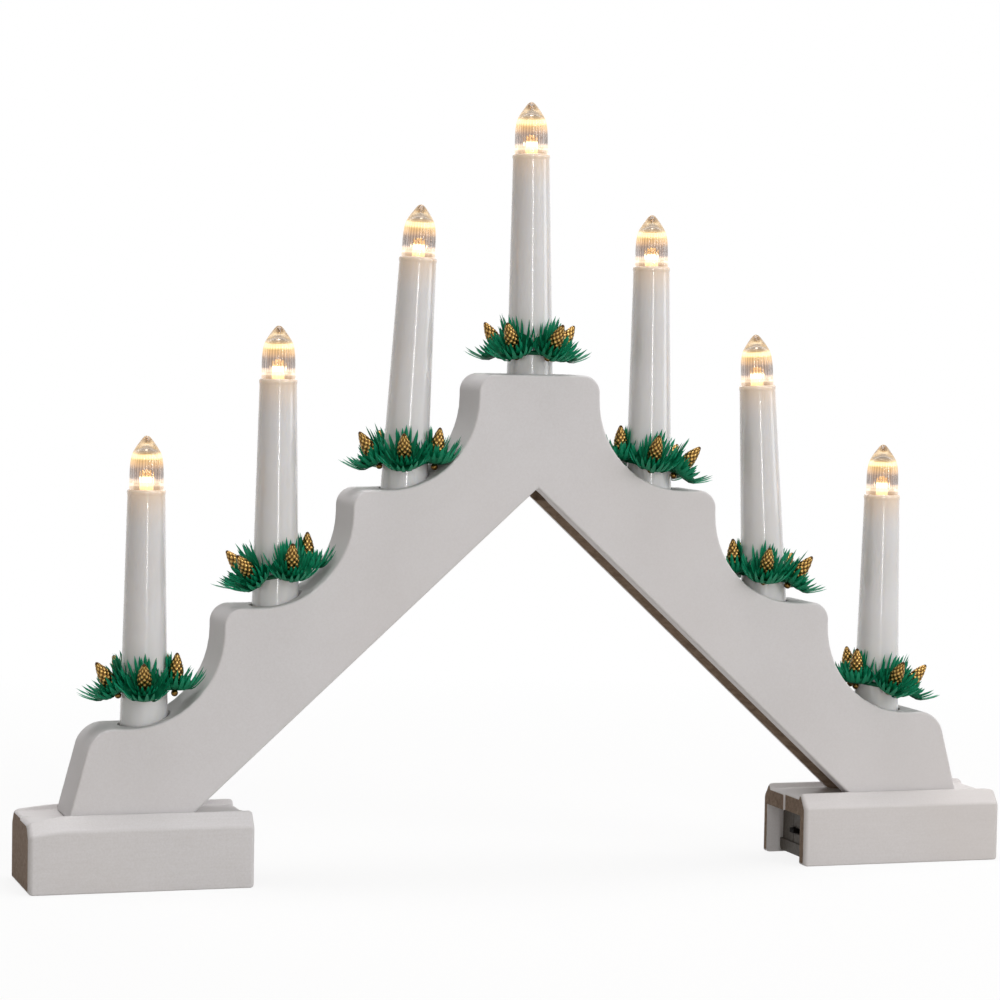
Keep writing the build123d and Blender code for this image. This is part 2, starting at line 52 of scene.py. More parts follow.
# Sizes of the object, in millimetres, as the frame has them
SIDE_STEPS = 3
CANDLES = 2 * SIDE_STEPS + 1
PITCH = 51.0
STEP_RUN, STEP_RISE, LOWEST_STEP, TOP_HALF = 50.0, 45.3, 61.0, 25.0
COVE, NOSE, LEG_NOSE, LEG_SPLAY = 36.0, 7.0, 11.0, 9.0
APEX, INNER_SPAN, SEAT = 152.4, 137.2, 26.8
BOARD_THICK = 27.0
GROOVE_R, GROOVE_DEPTH, GROOVE_OFFSET, LEAD_HOLE = 9.5, 5.0, 2.2, 2.2
GROOVE_ROOF = math.sqrt(GROOVE_R ** 2 - GROOVE_OFFSET ** 2) - (GROOVE_R - GROOVE_DEPTH)
TOP_HEIGHT = LOWEST_STEP + SIDE_STEPS * STEP_RISE
OUTER_SPAN = TOP_HALF + SIDE_STEPS * STEP_RUN + LEG_SPLAY
LEG_ANGLE = math.atan2(APEX - SEAT, INNER_SPAN)
LEANS = (0.0, 0.0, 2.7, -0.7, -0.4, -3.2, 0.3)
SINKS = (0.71, 0.89, 0.68, 0.96, 0.79, 0.89, 0.82)
SOCKET_DEPTH, SOCKET_R = 14.0, 10.2
TUBE_LENGTH, TUBE_BASE, TUBE_TOP, TUBE_WALL = 100.0, 9.3, 7.2, 0.9
TUBE_FOOT, TUBE_FOOT_H, TUBE_FLARE_H = 10.0, 2.0, 5.0
BULB_R, BULB_H, SKIRT_R, SKIRT_D = 6.6, 20.5, 5.95, 4.0
RING_WIRE, RING_GAP = 0.9, 0.15
RING_HEIGHTS = (0.14, 0.123, 0.108, 0.085, 0.094, 0.097, 0.102)
RING_TURNS = (-10.0, 16.0, -18.0, -48.0, -15.0, -20.0, 4.0)
RING_TILTS = (-3.0, -12.0, -3.0, 2.0, 12.0, 12.0, 9.5)
CHANNEL_H = 20.0
SCREW_INSET, SCREW_SPACING, SCREW_OFFSET = 13.4, 20.0, 7.0
SCREW_R, SCREW_HEAD, SCREW_HEAD_H, SCREW_L = 1.6, 3.2, 1.8, 16.0
TUFTS = 5
TUFT_REACH, TUFT_SINK, TUFT_TILT, RISER_SHIFT = 1.3, 0.8, 32.0, 1.02
OVERRUN, HOLE_GAP, HOLE_SIDES = 1.0, 0.1, 24


# Small helpers

def rotation(axis, degrees):
    return Matrix.Rotation(math.radians(degrees), 4, axis)


def shift(x, y, z):
    return Matrix.Translation((x, y, z))


def along(start, direction):
    """The matrix that lays a Z bar from start along direction."""
    return shift(*start) @ Vector(direction).to_track_quat("Z", "Y").to_matrix().to_4x4()


def polar(radius, angle, height):
    """The point at an angle about Z, in radians."""
    return Vector((radius * math.cos(angle), radius * math.sin(angle), height))


def linked(name, mesh, materials):
    """A new object in the scene with its materials."""
    obj = bpy.data.objects.new(name, mesh)
    SCENE.collection.objects.link(obj)
    for material in materials:
        mesh.materials.append(material)
    return obj


def dressed(obj, body, node):
    """The piece rides on a body and stands for a node."""
    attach(obj, body)
    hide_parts(node)


def smooth(obj, angle=35):
    """Smooth shading with edges kept where faces meet sharply."""
    mesh = obj.data
    limit = math.radians(angle)
    bm = bmesh.new()
    bm.from_mesh(mesh)
    for face in bm.faces:
        face.smooth = True
    for edge in bm.edges:
        edge.smooth = not (len(edge.link_faces) == 2 and edge.calc_face_angle(0) > limit)
    bm.to_mesh(mesh)
    bm.free()


def mesh_of(bm, name, matrix=Matrix()):
    """The bmesh as a mesh in metres."""
    bm.transform(matrix)
    bm.transform(Matrix.Scale(MM, 4))
    bmesh.ops.recalc_face_normals(bm, faces=bm.faces)
    mesh = bpy.data.meshes.new(name)
    bm.to_mesh(mesh)
    bm.free()
    return mesh


def piece(bm, name, material, node, angle, matrix=Matrix()):
    """A smooth piece on the fixed body."""
    obj = linked(name, mesh_of(bm, name, matrix), [material])
    dressed(obj, "root", node)
    smooth(obj, angle)


def numbered(bm, index, name, material, node, angle, matrix=Matrix()):
    """A piece of the candle with this index, which starts at 0; the names count from 1."""
    piece(bm, name % (index + 1), material, node % (index + 1), angle, matrix)


def joined(parts):
    """Several bmeshes as one."""
    whole = bmesh.new()
    for part in parts:
        mesh = bpy.data.meshes.new("part")
        part.to_mesh(mesh)
        part.free()
        whole.from_mesh(mesh)
        bpy.data.meshes.remove(mesh)
    return whole


def modify(obj, name, kind, **settings):
    """Puts a modifier on a piece."""
    made = obj.modifiers.new(name, kind)
    for key, value in settings.items():
        setattr(made, key, value)


def apply_modifiers(obj):
    """Bakes an object's modifiers into its mesh."""
    bpy.context.view_layer.update()
    graph = bpy.context.evaluated_depsgraph_get()
    mesh = bpy.data.meshes.new_from_object(obj.evaluated_get(graph))
    obj.modifiers.clear()
    obj.data = mesh


def cut(obj, tool, operation="DIFFERENCE"):
    """Cuts a tool object from a piece and removes the tool."""
    modify(obj, "cut", "BOOLEAN", operation=operation, solver="EXACT", object=tool)
    apply_modifiers(obj)
    bpy.data.objects.remove(tool)


def bevel(obj, width, segments=3, angle=35):
    """Softens the edges that are sharper than an angle."""
    modify(obj, "bevel", "BEVEL", width=width * MM, segments=segments, limit_method="ANGLE",
           angle_limit=math.radians(angle), use_clamp_overlap=False)
    apply_modifiers(obj)


def finish_piece(obj, body, node):
    """Normals weighted by face area, so that flat faces stay flat beside soft rims."""
    modify(obj, "weighted", "WEIGHTED_NORMAL", keep_sharp=True, weight=100)
    smooth(obj)
    dressed(obj, body, node)


# Forms

def skin(bm, rings, closed=False, caps=False):
    """Faces between rings of points; a ring of one point is a pole."""
    for low, high in zip(rings, rings[1:] + (rings[:1] if closed else [])):
        count = max(len(low), len(high))
        for k in range(count):
            n = (k + 1) % count
            corners = (low[k % len(low)], low[n % len(low)], high[n % len(high)], high[k % len(high)])
            bm.faces.new(tuple(dict.fromkeys(corners)))
    if caps:
        bm.faces.new(rings[0])
        bm.faces.new(rings[-1])


def lathe(profile, sides, closed=False):
    """A bmesh turned about Z from (radius, height) points; a radius of zero is a pole."""
    bm = bmesh.new()
    rings = []
    for radius, height in profile:
        count = sides if radius > 0 else 1
        rings.append([bm.verts.new(polar(radius, math.tau * k / count, height)) for k in range(count)])
    skin(bm, rings, closed)
    return bm


def turned(bm, layer, value, place, profile, sides):
    """A solid turned about a place's Z inside a larger bmesh, with one value on its layer."""
    rings = []
    for radius, height in profile:
        ring = [bm.verts.new(place @ polar(radius, math.tau * k / sides, height)) for k in range(sides)]
        for vert in ring:
            vert[layer] = value
        rings.append(ring)
    skin(bm, rings, caps=True)


def tube_along(points, radius, sides, closed=False):
    """A bmesh tube round a line of points."""
    bm = bmesh.new()
    rings = []
    normal = None
    last = len(points) - 1
    for i, point in enumerate(points):
        if closed:
            tangent = (points[(i + 1) % len(points)] - points[i - 1]).normalized()
        else:
            tangent = (points[min(i + 1, last)] - points[max(i - 1, 0)]).normalized()
        if normal is None:
            normal = tangent.orthogonal().normalized()
        normal = (normal - tangent * normal.dot(tangent)).normalized()
        other = tangent.cross(normal)
        turns = [math.tau * k / sides for k in range(sides)]
        spokes = [normal * math.cos(t) + other * math.sin(t) for t in turns]
        rings.append([bm.verts.new(point + radius * spoke) for spoke in spokes])
    skin(bm, rings, closed, caps=not closed)
    return bm


def extruded(points, low, high):
    """A bmesh prism of (x, z) points between two depths."""
    bm = bmesh.new()
    front = [bm.verts.new((p[0], low, p[1])) for p in points]
    back = [bm.verts.new((p[0], high, p[1])) for p in points]
    bm.faces.new(front)
    bm.faces.new(list(reversed(back)))
    count = len(points)
    for k in range(count):
        n = (k + 1) % count
        bm.faces.new((front[k], back[k], back[n], front[n]))
    return bm


def box_bm(low, high):
    """A bmesh box between two corners."""
    bm = bmesh.new()
    bmesh.ops.create_cube(bm, size=1)
    size = [high[i] - low[i] for i in range(3)]
    middle = [(high[i] + low[i]) / 2 for i in range(3)]
    bm.transform(shift(*middle) @ Matrix.Diagonal((*size, 1)))
    return bm


def rod_bm(radius, length, sides=HOLE_SIDES):
    """A plain bar along Z from the origin, as a cutter."""
    return lathe([(0, 0), (radius, 0), (radius, length), (0, length)], sides)


def tool_object(bm, matrix=Matrix(), bare=False):
    """A cutter, which leaves paint or bare wood on the faces that it makes."""
    for face in bm.faces:
        face.material_index = int(bare)
    return linked("tool", mesh_of(bm, "tool", matrix), (PAINT, BARE_WOOD))


def rounded(corners, segment_angle=6.0):
    """The outline of (x, z, radius) corners with arcs in place of the rounded ones."""
    points = []
    for i, (x, z, radius) in enumerate(corners):
        here = Vector((x, z))
        if radius <= 0:
            points.append(here)
            continue
        before = (Vector(corners[i - 1][:2]) - here).normalized()
        after = (Vector(corners[(i + 1) % len(corners)][:2]) - here).normalized()
        half = before.angle(after) / 2
        reach = radius / math.tan(half)
        centre = here + (before + after).normalized() * (radius / math.sin(half))
        a, b = here + before * reach - centre, here + after * reach - centre
        turn = math.pi - 2 * half
        steps = max(2, int(math.degrees(turn) / segment_angle))
        sign = 1 if a.x * b.y - a.y * b.x > 0 else -1
        first = math.atan2(a.y, a.x)
        for k in range(steps + 1):
            angle = first + sign * turn * k / steps
            points.append(centre + radius * Vector((math.cos(angle), math.sin(angle))))
    return points


def eased(before, here, after, reach, share, steps):
    """A short curve in place of a corner, over no more than a share of the runs beside it."""
    back, ahead = before - here, after - here
    a = here + back.normalized() * min(reach, back.length * share)
    b = here + ahead.normalized() * min(reach, ahead.length * share)
    return [a.lerp(here, k / steps).lerp(here.lerp(b, k / steps), k / steps) for k in range(steps + 1)]


# Materials

def srgb(r, g, b):
    """A colour given as 0 to 255 in linear light."""
    def line(v):
        v /= 255
        return v / 12.92 if v <= 0.04045 else ((v + 0.055) / 1.055) ** 2.4
    return (line(r), line(g), line(b))


class Nodes:
    """A short way to make and link the shader nodes of a material or world."""

    def __init__(self, name, world=False):
        self.owner = (bpy.data.worlds if world else bpy.data.materials).new(name)
        self.owner.use_nodes = True
        self.tree = self.owner.node_tree
        self.tree.nodes.clear()
        self.out = self.node("OutputWorld" if world else "OutputMaterial")

    def put(self, made, inputs):
        """Links or sets inputs by name or number; a colour gets its alpha."""
        for key, value in inputs.items():
            socket = made.inputs[key]
            if isinstance(value, bpy.types.NodeSocket):
                self.tree.links.new(value, socket)
            else:
                socket.default_value = (*value, 1.0) if socket.type == "RGBA" else value

    def node(self, kind, inputs=None, **settings):
        made = self.tree.nodes.new("ShaderNode" + kind)
        for key, value in settings.items():
            setattr(made, key, value)
        self.put(made, inputs or {})
        return made

    def feed(self, **values):
        """Links or sets inputs of the surface shader."""
        self.put(self.surface, {key.replace("_", " "): value for key, value in values.items()})

    def shader(self, **values):
        self.surface = self.node("BsdfPrincipled")
        self.feed(**values)
        self.put(self.out, {0: self.surface.outputs[0]})

    def gloss(self, value, low, high):
        """Roughness from low to high with a noise."""
        self.feed(Roughness=self.spread(value, 0.3, 0.7, low, high))

    def position(self, scale=(1, 1, 1), turn=0):
        """The object's own space, stretched, and turned about Y."""
        inputs = {"Vector": self.node("TexCoord").outputs["Object"], "Scale": scale,
                  "Rotation": (0, math.radians(turn), 0)}
        return self.node("Mapping", inputs).outputs["Vector"]

    def noise(self, size, detail=4.0, rough=0.55, distort=0.0, vector=None):
        """Noise over the object's space, or over a vector; a larger size is finer."""
        inputs = {"Vector": vector or self.position(), "Scale": size, "Detail": detail, "Roughness": rough,
                  "Distortion": distort}
        return self.node("TexNoise", inputs).outputs["Fac"]

    def attribute(self, name):
        return self.node("Attribute", attribute_name=name).outputs["Fac"]

    def ramp(self, value, *stops):
        made = self.node("ValToRGB", {"Fac": value})
        elements = made.color_ramp.elements
        while len(elements) < len(stops):
            elements.new(0.5)
        for element, (place, colour) in zip(elements, stops):
            element.position = place
            element.color = (*colour, 1.0)
        return made.outputs["Color"]

    def spread(self, value, low, high, to_low, to_high):
        inputs = {"Value": value, "From Min": low, "From Max": high, "To Min": to_low, "To Max": to_high}
        return self.node("MapRange", inputs).outputs["Result"]

    def mix(self, factor, a, b, blend="MIX"):
        return self.node("Mix", {0: factor, 6: a, 7: b}, data_type="RGBA", blend_type=blend).outputs[2]

    def maths(self, operation, a, b):
        return self.node("Math", {0: a, 1: b}, operation=operation).outputs[0]

    def total(self, *shares):
        """The sum of values, each times its share."""
        whole = None
        for value, share in shares:
            part = self.maths("MULTIPLY", value, share)
            whole = self.maths("ADD", whole, part) if whole else part
        return whole

    def bump(self, height, strength, distance):
        inputs = {"Strength": strength, "Distance": distance, "Height": height}
        self.feed(Normal=self.node("Bump", inputs).outputs["Normal"])

    def plain(self, kind, colour, **values):
        """A shader of one colour."""
        return self.node(kind, {"Color": colour, **values}).outputs[0]

    def either(self, factor, a, b):
        """Shader a at 0 and b at 1."""
        return self.node("MixShader", {0: factor, 1: a, 2: b}).outputs[0]

    def seen(self):
        """1 for what the camera sees, also in a gloss and through glass."""
        path = self.node("LightPath").outputs
        through = self.maths("MAXIMUM", path["Is Glossy Ray"], path["Is Transmission Ray"])
        return self.maths("MAXIMUM", path["Is Camera Ray"], through)


def paint_material(name, light, dark, grain, warm):
    """White paint over wood, with soft mottling, fine speckle, faint grain and a warm cast in patches."""
    n = Nodes(name)
    n.shader(Roughness=0.5, Specular_IOR_Level=0.35)
    strands = n.noise(60.0, 5.0, 0.6, 0.2, n.position(scale=(1.0, 16.0, 16.0)))
    speck = n.noise(1300.0, 3.0)
    tone = n.total((n.noise(22.0), 0.6 - grain), (strands, grain), (speck, 0.4))
    colour = n.ramp(tone, (0.36, dark), (0.64, light))
    patch = n.spread(n.noise(7.0, 1.0), 0.42, 0.66, 0.0, 0.5)
    n.feed(Base_Color=n.mix(patch, colour, warm))
    n.gloss(speck, 0.42, 0.6)
    n.bump(n.total((strands, grain), (speck, 0.15)), 0.3, 0.0003)
    return n.owner


def plastic_material(name, colour, shade, roughness=0.25, size=500.0, bump=0.05, specular=0.5):
    """Moulded plastic with slight tone and gloss variation."""
    n = Nodes(name)
    n.shader(Roughness=roughness, Specular_IOR_Level=specular)
    fine = n.noise(size, 3.0)
    n.feed(Base_Color=n.ramp(n.noise(35.0, 3.0), (0.35, shade), (0.65, colour)))
    n.gloss(fine, roughness * 0.8, roughness * 1.25)
    n.bump(fine, bump, 0.0002)
    return n.owner


def candle_material():
    """Glossy ivory white plastic, with a painted warm tint and a faint painted glow below the mouth, where
    the lamp shines through the wall.
    """
    n = Nodes("candle_plastic")
    n.shader(Roughness=0.2, Coat_Weight=0.6, Coat_Roughness=0.04, Subsurface_Weight=0.25,
             Subsurface_Scale=1.0, Subsurface_Radius=(0.004, 0.003, 0.002), Emission_Color=(1.0, 0.66, 0.38))
    fine = n.noise(700.0, 3.0)
    white = n.ramp(n.noise(35.0, 3.0), (0.35, srgb(219, 216, 215)), (0.65, srgb(224, 222, 222)))
    # The warm layer paints the lamp's light into the top of the sleeve: a warm tint and a faint glow.
    warm = n.attribute("warm")
    n.feed(Base_Color=n.mix(warm, white, srgb(232, 208, 186)),
           Emission_Strength=n.maths("MULTIPLY", warm, 0.10))
    n.gloss(fine, 0.16, 0.25)
    n.bump(fine, 0.02, 0.0002)
    return n.owner


def gold_material():
    """Gold paint, bright on the tips of the scales and brown in the gaps: painted highlight and painted
    shade.
    """
    n = Nodes("cone_gold")
    n.shader(Roughness=0.3, Metallic=0.9)
    fine = n.noise(700.0, 3.0)
    # The tip layer paints a highlight on the scale tips and shade in the gaps.
    tone = n.total((n.attribute("tip"), 0.8), (fine, 0.25))
    n.feed(Base_Color=n.ramp(tone, (0.22, srgb(66, 44, 20)), (0.42, srgb(128, 96, 48)),
                             (0.62, srgb(172, 136, 74)), (0.85, srgb(240, 206, 132))))
    n.gloss(fine, 0.2, 0.36)
    n.bump(fine, 0.15, 0.0002)
    return n.owner


def needle_material():
    """Soft green plastic with a gloss, darker at the root and lighter toward the ends: painted shade and
    painted light, over a random tone.
    """
    n = Nodes("pine_green")
    n.shader(Roughness=0.5, Specular_IOR_Level=0.22)
    # Painted shade at the roots and in the bowl, painted light toward the needle ends.
    tone = n.total((n.attribute("tip"), 0.65), (n.noise(160.0, 2.0), 0.35))
    n.feed(Base_Color=n.ramp(tone, (0.12, srgb(0, 78, 50)), (0.5, srgb(0, 116, 80)),
                             (0.9, srgb(24, 150, 112))))
    n.bump(n.noise(1500.0, 2.0), 0.1, 0.0001)
    return n.owner


def clear_material():
    """Clear moulded plastic with painted light: a glow in bands where its ribs catch the lamp's light, a tint
    by height for the light and shade seen through it, and painted shade in the rib valleys.
    """
    n = Nodes("bulb_clear")
    n.shader(Roughness=0.07, IOR=1.46, Transmission_Weight=1.0)
    fine = n.noise(420.0, 2.0)
    n.bump(fine, 0.05, 0.0002)
    n.gloss(fine, 0.04, 0.12)
    level, rib, glow = n.attribute("level"), n.attribute("rib"), n.attribute("glow")
    # Painted light and shade seen through the cap, by height.
    clear = n.ramp(level, (0.0, (0.52, 0.43, 0.34)), (0.20, (0.76, 0.69, 0.66)), (0.42, (0.74, 0.64, 0.56)),
                   (0.62, (0.50, 0.40, 0.26)), (0.72, (0.50, 0.43, 0.36)), (0.86, (0.36, 0.29, 0.23)),
                   (1.0, (0.30, 0.21, 0.14)))
    # Painted shade in the rib valleys.
    dark = n.mix(1.0, clear, (0.30, 0.27, 0.28), "MULTIPLY")
    # The colour of the painted glow by height, whiter where it is hottest.
    light = n.ramp(level, (0.0, (1.0, 0.66, 0.40)), (0.12, (1.0, 0.80, 0.55)), (0.20, (1.0, 0.76, 0.55)),
                   (0.40, (1.0, 0.58, 0.26)), (0.52, (1.0, 0.62, 0.22)), (0.58, (1.0, 0.74, 0.34)),
                   (0.64, (1.0, 0.72, 0.30)), (0.70, (1.0, 0.58, 0.15)), (0.85, (1.0, 0.60, 0.34)))
    hot = n.spread(glow, 0.5, 1.0, 0.0, 0.85)
    n.feed(Base_Color=n.mix(n.maths("MULTIPLY", rib, 0.9), clear, dark),
           Emission_Color=n.mix(hot, light, (1.0, 0.93, 0.78)),
           Emission_Strength=n.maths("MULTIPLY", glow, n.spread(rib, 0.0, 1.0, 1.0, 0.72)))
    return n.owner


def lamp_material():
    """The lit lens of the lamp, brightest at its foot where the light is made."""
    n = Nodes("lamp_lens")
    n.shader(Roughness=0.15, Transmission_Weight=0.6, IOR=1.5, Emission_Color=(1.0, 0.84, 0.58))
    tint = n.ramp(n.noise(300.0, 1.0), (0.3, srgb(255, 226, 170)), (0.7, srgb(255, 240, 205)))
    n.feed(Base_Color=tint, Emission_Strength=n.attribute("glow"))
    return n.owner


def metal_material(name, colour, shade, roughness):
    """Metal with brushed tone."""
    n = Nodes(name)
    n.shader(Metallic=1.0, Roughness=roughness)
    brushed = n.noise(60.0, vector=n.position(scale=(1, 30, 30)))
    n.feed(Base_Color=n.ramp(brushed, (0.3, shade), (0.7, colour)))
    n.gloss(n.noise(200.0), roughness * 0.7, roughness * 1.4)
    return n.owner


def wood_material(name, light, dark):
    """Bare wood in the groove and on cut ends."""
    n = Nodes(name)
    n.shader(Roughness=0.75, Specular_IOR_Level=0.2)
    grain = n.noise(60.0, 6.0, 0.65, 0.6, n.position(scale=(1.0, 10.0, 10.0), turn=-42))
    n.feed(Base_Color=n.ramp(grain, (0.3, dark), (0.7, light)))
    n.bump(grain, 0.5, 0.0004)
    return n.owner


PAINT = paint_material("arch_paint", srgb(219, 217, 219), srgb(211, 208, 209), 0.05, srgb(215, 210, 209))
FOOT_PAINT = paint_material("foot_paint", srgb(219, 217, 219), srgb(207, 204, 204), 0.24, srgb(214, 207, 204))
BARE_WOOD = wood_material("bare_wood", srgb(152, 133, 117), srgb(114, 95, 80))
CANDLE = candle_material()
HOLDER = plastic_material("holder_plastic", srgb(236, 232, 222), srgb(222, 216, 204), 0.5)
NEEDLES = needle_material()
GOLD = gold_material()
CLEAR = clear_material()
LAMP = lamp_material()
LEAD = plastic_material("lead_insulation", srgb(226, 222, 214), srgb(206, 201, 192), 0.45, 900.0, 0.06)
STEEL = metal_material("screw_steel", srgb(176, 172, 164), srgb(140, 136, 128), 0.35)
CONTACT = metal_material("contact_metal", srgb(214, 212, 206), srgb(180, 178, 172), 0.25)
CASE = plastic_material("case_plastic", srgb(66, 58, 48), srgb(54, 47, 39), 0.55, 900.0, 0.25)
CELL = plastic_material("cell_wrap", srgb(52, 66, 84), srgb(40, 52, 68), 0.25, 500.0, 0.04)
BLACK = plastic_material("switch_black", srgb(15, 12, 10), srgb(8, 6, 5), 0.6, 900.0, 0.2, 0.12)
HOUSING = plastic_material("switch_housing", srgb(58, 50, 42), srgb(48, 42, 35), 0.55, 900.0, 0.2, 0.3)


# Arch board

BOARD_BEVEL = 0.9
SOCKET_SIDES, GROOVE_SIDES = 48, 40
LEAD_WAY_OVERRUN = 2


def board_corners():
    """Half the outline, from the foot of the leg up the steps, and its mirror image."""
    right = [(INNER_SPAN, SEAT, 0), (OUTER_SPAN, SEAT, 0)]
    for step in range(SIDE_STEPS):
        edge = TOP_HALF + (SIDE_STEPS - step) * STEP_RUN
        height = LOWEST_STEP + step * STEP_RISE
        right.append((edge, height, NOSE if step else LEG_NOSE))
        right.append((edge - STEP_RUN, height, COVE))
    right.append((TOP_HALF, TOP_HEIGHT, NOSE))
    left = [(-x, z, r) for x, z, r in reversed(right)]
    return [(0, APEX, 0)] + right + left


def candle_matrix(index):
    """Where a candle's axis meets its step."""
    side = index - SIDE_STEPS
    return shift(side * PITCH, 0, TOP_HEIGHT - abs(side) * STEP_RISE) @ rotation("Y", LEANS[index])


def leg_axes(side):
    """The way down the underside of a leg, and the way from it into the board."""
    run, rise = math.cos(LEG_ANGLE), math.sin(LEG_ANGLE)
    return Vector((side * run, 0, -rise)), Vector((side * rise, 0, run))


def screw_spots(side):
    outer = OUTER_SPAN - SCREW_INSET
    return [(side * (outer - SCREW_SPACING), -SCREW_OFFSET), (side * outer, SCREW_OFFSET)]


def lead_way_end(index):
    """Where the way of a candle's lead comes out under the board."""
    peak = Vector((0, 0, APEX))
    side = index - SIDE_STEPS
    if side == 0:
        return peak
    floor = candle_matrix(index) @ Vector((0, 0, -SOCKET_DEPTH))
    into = leg_axes(math.copysign(1, side))[1]
    return floor - into * (floor - peak).dot(into)


def arch_board():
    """The stepped board with softened rims, candle holes and a bare groove under each leg."""
    name = "arch_board_painted"
    blank = extruded(rounded(board_corners()), -BOARD_THICK / 2, BOARD_THICK / 2)
    obj = linked(name, mesh_of(blank, name), (PAINT, BARE_WOOD))
    bevel(obj, BOARD_BEVEL)
    for index in range(CANDLES):
        matrix = candle_matrix(index) @ shift(0, 0, -SOCKET_DEPTH)
        cut(obj, tool_object(rod_bm(SOCKET_R, SOCKET_DEPTH + COVE, SOCKET_SIDES), matrix))
    groove_length = math.hypot(INNER_SPAN, APEX - SEAT) + 3 * GROOVE_R
    for side in (-1, 1):
        down, into = leg_axes(side)
        start = Vector((0, GROOVE_OFFSET, APEX)) - into * (GROOVE_R - GROOVE_DEPTH) - down * GROOVE_DEPTH
        cut(obj, tool_object(rod_bm(GROOVE_R, groove_length, GROOVE_SIDES), along(start, down), bare=True))
        for x, y in screw_spots(side):
            cut(obj, tool_object(rod_bm(SCREW_R + HOLE_GAP, CHANNEL_H + SCREW_L), shift(x, y, 0), bare=True))
    for index in range(CANDLES):
        floor = candle_matrix(index) @ Vector((0, 0, -SOCKET_DEPTH))
        way = lead_way_end(index) - floor
        start = floor - way.normalized() * LEAD_WAY_OVERRUN
        cut(obj, tool_object(rod_bm(LEAD_HOLE, way.length + LEAD_WAY_OVERRUN), along(start, way), bare=True))
    finish_piece(obj, "root", "arch_board")
    return obj


# Candles

TUBE_EDGE, FLARE_BULGE, MOUTH_BREAK = 0.3, 0.2, 0.1
TUBE_SIDES, TUBE_LEVELS, LIP_DEPTH = 72, 24, 2.4
# How far the lip stands out, and how far below the mouth
LIP_PROFILE = ((0.1, 1.9), (0.25, 1.4), (0.225, 0.75), (0.025, 0.3), (-0.3, 0.06), (-0.6, 0.0))
# How far down the sleeve the painted lamp glow reaches, and how sharply it fades
WARM_DEPTH, WARM_BEND = 16.0, 1.5


def tube_matrix(index):
    return candle_matrix(index) @ shift(0, 0, -SOCKET_DEPTH * SINKS[index])


def tube_radius(height):
    share = (height - TUBE_FLARE_H) / (TUBE_LENGTH - TUBE_FLARE_H)
    return TUBE_BASE + (TUBE_TOP - TUBE_BASE) * share


def candle_tube(index):
    """A tapered sleeve with a rounded lip at its mouth and a wall to see into."""
    profile = [(TUBE_FOOT - TUBE_EDGE, 0), (TUBE_FOOT, TUBE_EDGE), (TUBE_FOOT, TUBE_FOOT_H),
               (TUBE_BASE + FLARE_BULGE, TUBE_FLARE_H * 0.8)]
    for k in range(TUBE_LEVELS + 1):
        height = TUBE_FLARE_H + (TUBE_LENGTH - LIP_DEPTH - TUBE_FLARE_H) * k / TUBE_LEVELS
        profile.append((tube_radius(height), height))
    profile += [(TUBE_TOP + out, TUBE_LENGTH - down) for out, down in LIP_PROFILE]
    profile += [(TUBE_TOP - TUBE_WALL + MOUTH_BREAK, TUBE_LENGTH),
                (TUBE_TOP - TUBE_WALL, TUBE_LENGTH - TUBE_EDGE),
                (TUBE_BASE - TUBE_WALL, TUBE_FLARE_H), (TUBE_BASE - TUBE_WALL, 0)]
    bm = lathe(profile, TUBE_SIDES, closed=True)
    # The warm layer carries the painted lamp glow: full at the mouth, fading out below it.
    layer = bm.verts.layers.float.new("warm")
    for vert in bm.verts:
        vert[layer] = max(0.0, 1 - (TUBE_LENGTH - vert.co.z) / WARM_DEPTH) ** WARM_BEND
    numbered(bm, index, "candle_%d_sleeve", CANDLE, "candle_tube_%d", 60,
             tube_matrix(index))


BULB_RIBS, RIB_DEPTH, BULB_SIDES = 34, 0.13, 204
SKIRT_WALL, SKIRT_LEVEL, SKIRT_STOP, ROOF_LEVEL = 0.8, -SKIRT_D / BULB_H, -0.003, 0.74
BULB_PROFILE = (
    # level, width share, rib share, painted glow
    (0.00, 0.970, 0.0, 0.20), (0.00, 0.985, 0.0, 0.14), (0.03, 1.0, 0.3, 0.20), (0.065, 1.0, 0.3, 0.22),
    (0.075, 1.0, 0.0, 0.50), (0.105, 1.0, 0.0, 0.46), (0.115, 0.985, 0.2, 0.28), (0.15, 0.985, 0.6, 0.28),
    (0.175, 0.985, 1.0, 0.20), (0.215, 0.985, 1.0, 0.02), (0.30, 0.985, 1.0, 0.0), (0.38, 0.975, 1.0, 0.04),
    (0.44, 0.965, 1.0, 0.24), (0.50, 0.945, 1.0, 0.38), (0.55, 0.925, 1.0, 0.40), (0.575, 0.910, 0.9, 0.36),
    (0.60, 0.893, 0.6, 0.40), (0.63, 0.868, 0.4, 0.40), (0.655, 0.842, 0.5, 0.32), (0.68, 0.815, 0.5, 0.20),
    (0.71, 0.770, 0.4, 0.06), (0.74, 0.715, 0.4, 0.0), (0.80, 0.600, 0.3, 0.0), (0.86, 0.465, 0.2, 0.0),
    (0.91, 0.355, 0.1, 0.0), (0.95, 0.255, 0.0, 0.0), (0.98, 0.165, 0.0, 0.0), (0.995, 0.08, 0.0, 0.0),
)
BULB_HOLLOW = (
    # level, width share, painted glow
    (SKIRT_LEVEL, 0.775, 0.0), (0.08, 0.775, 0.05), (0.12, 0.775, 0.24), (0.17, 0.775, 0.24),
    (0.20, 0.775, 0.02), (0.40, 0.76, 0.0), (0.54, 0.70, 0.06), (0.58, 0.665, 0.85), (0.63, 0.60, 1.0),
    (0.655, 0.53, 0.15), (0.68, 0.45, 0.04), (0.72, 0.2, 0.0),
)


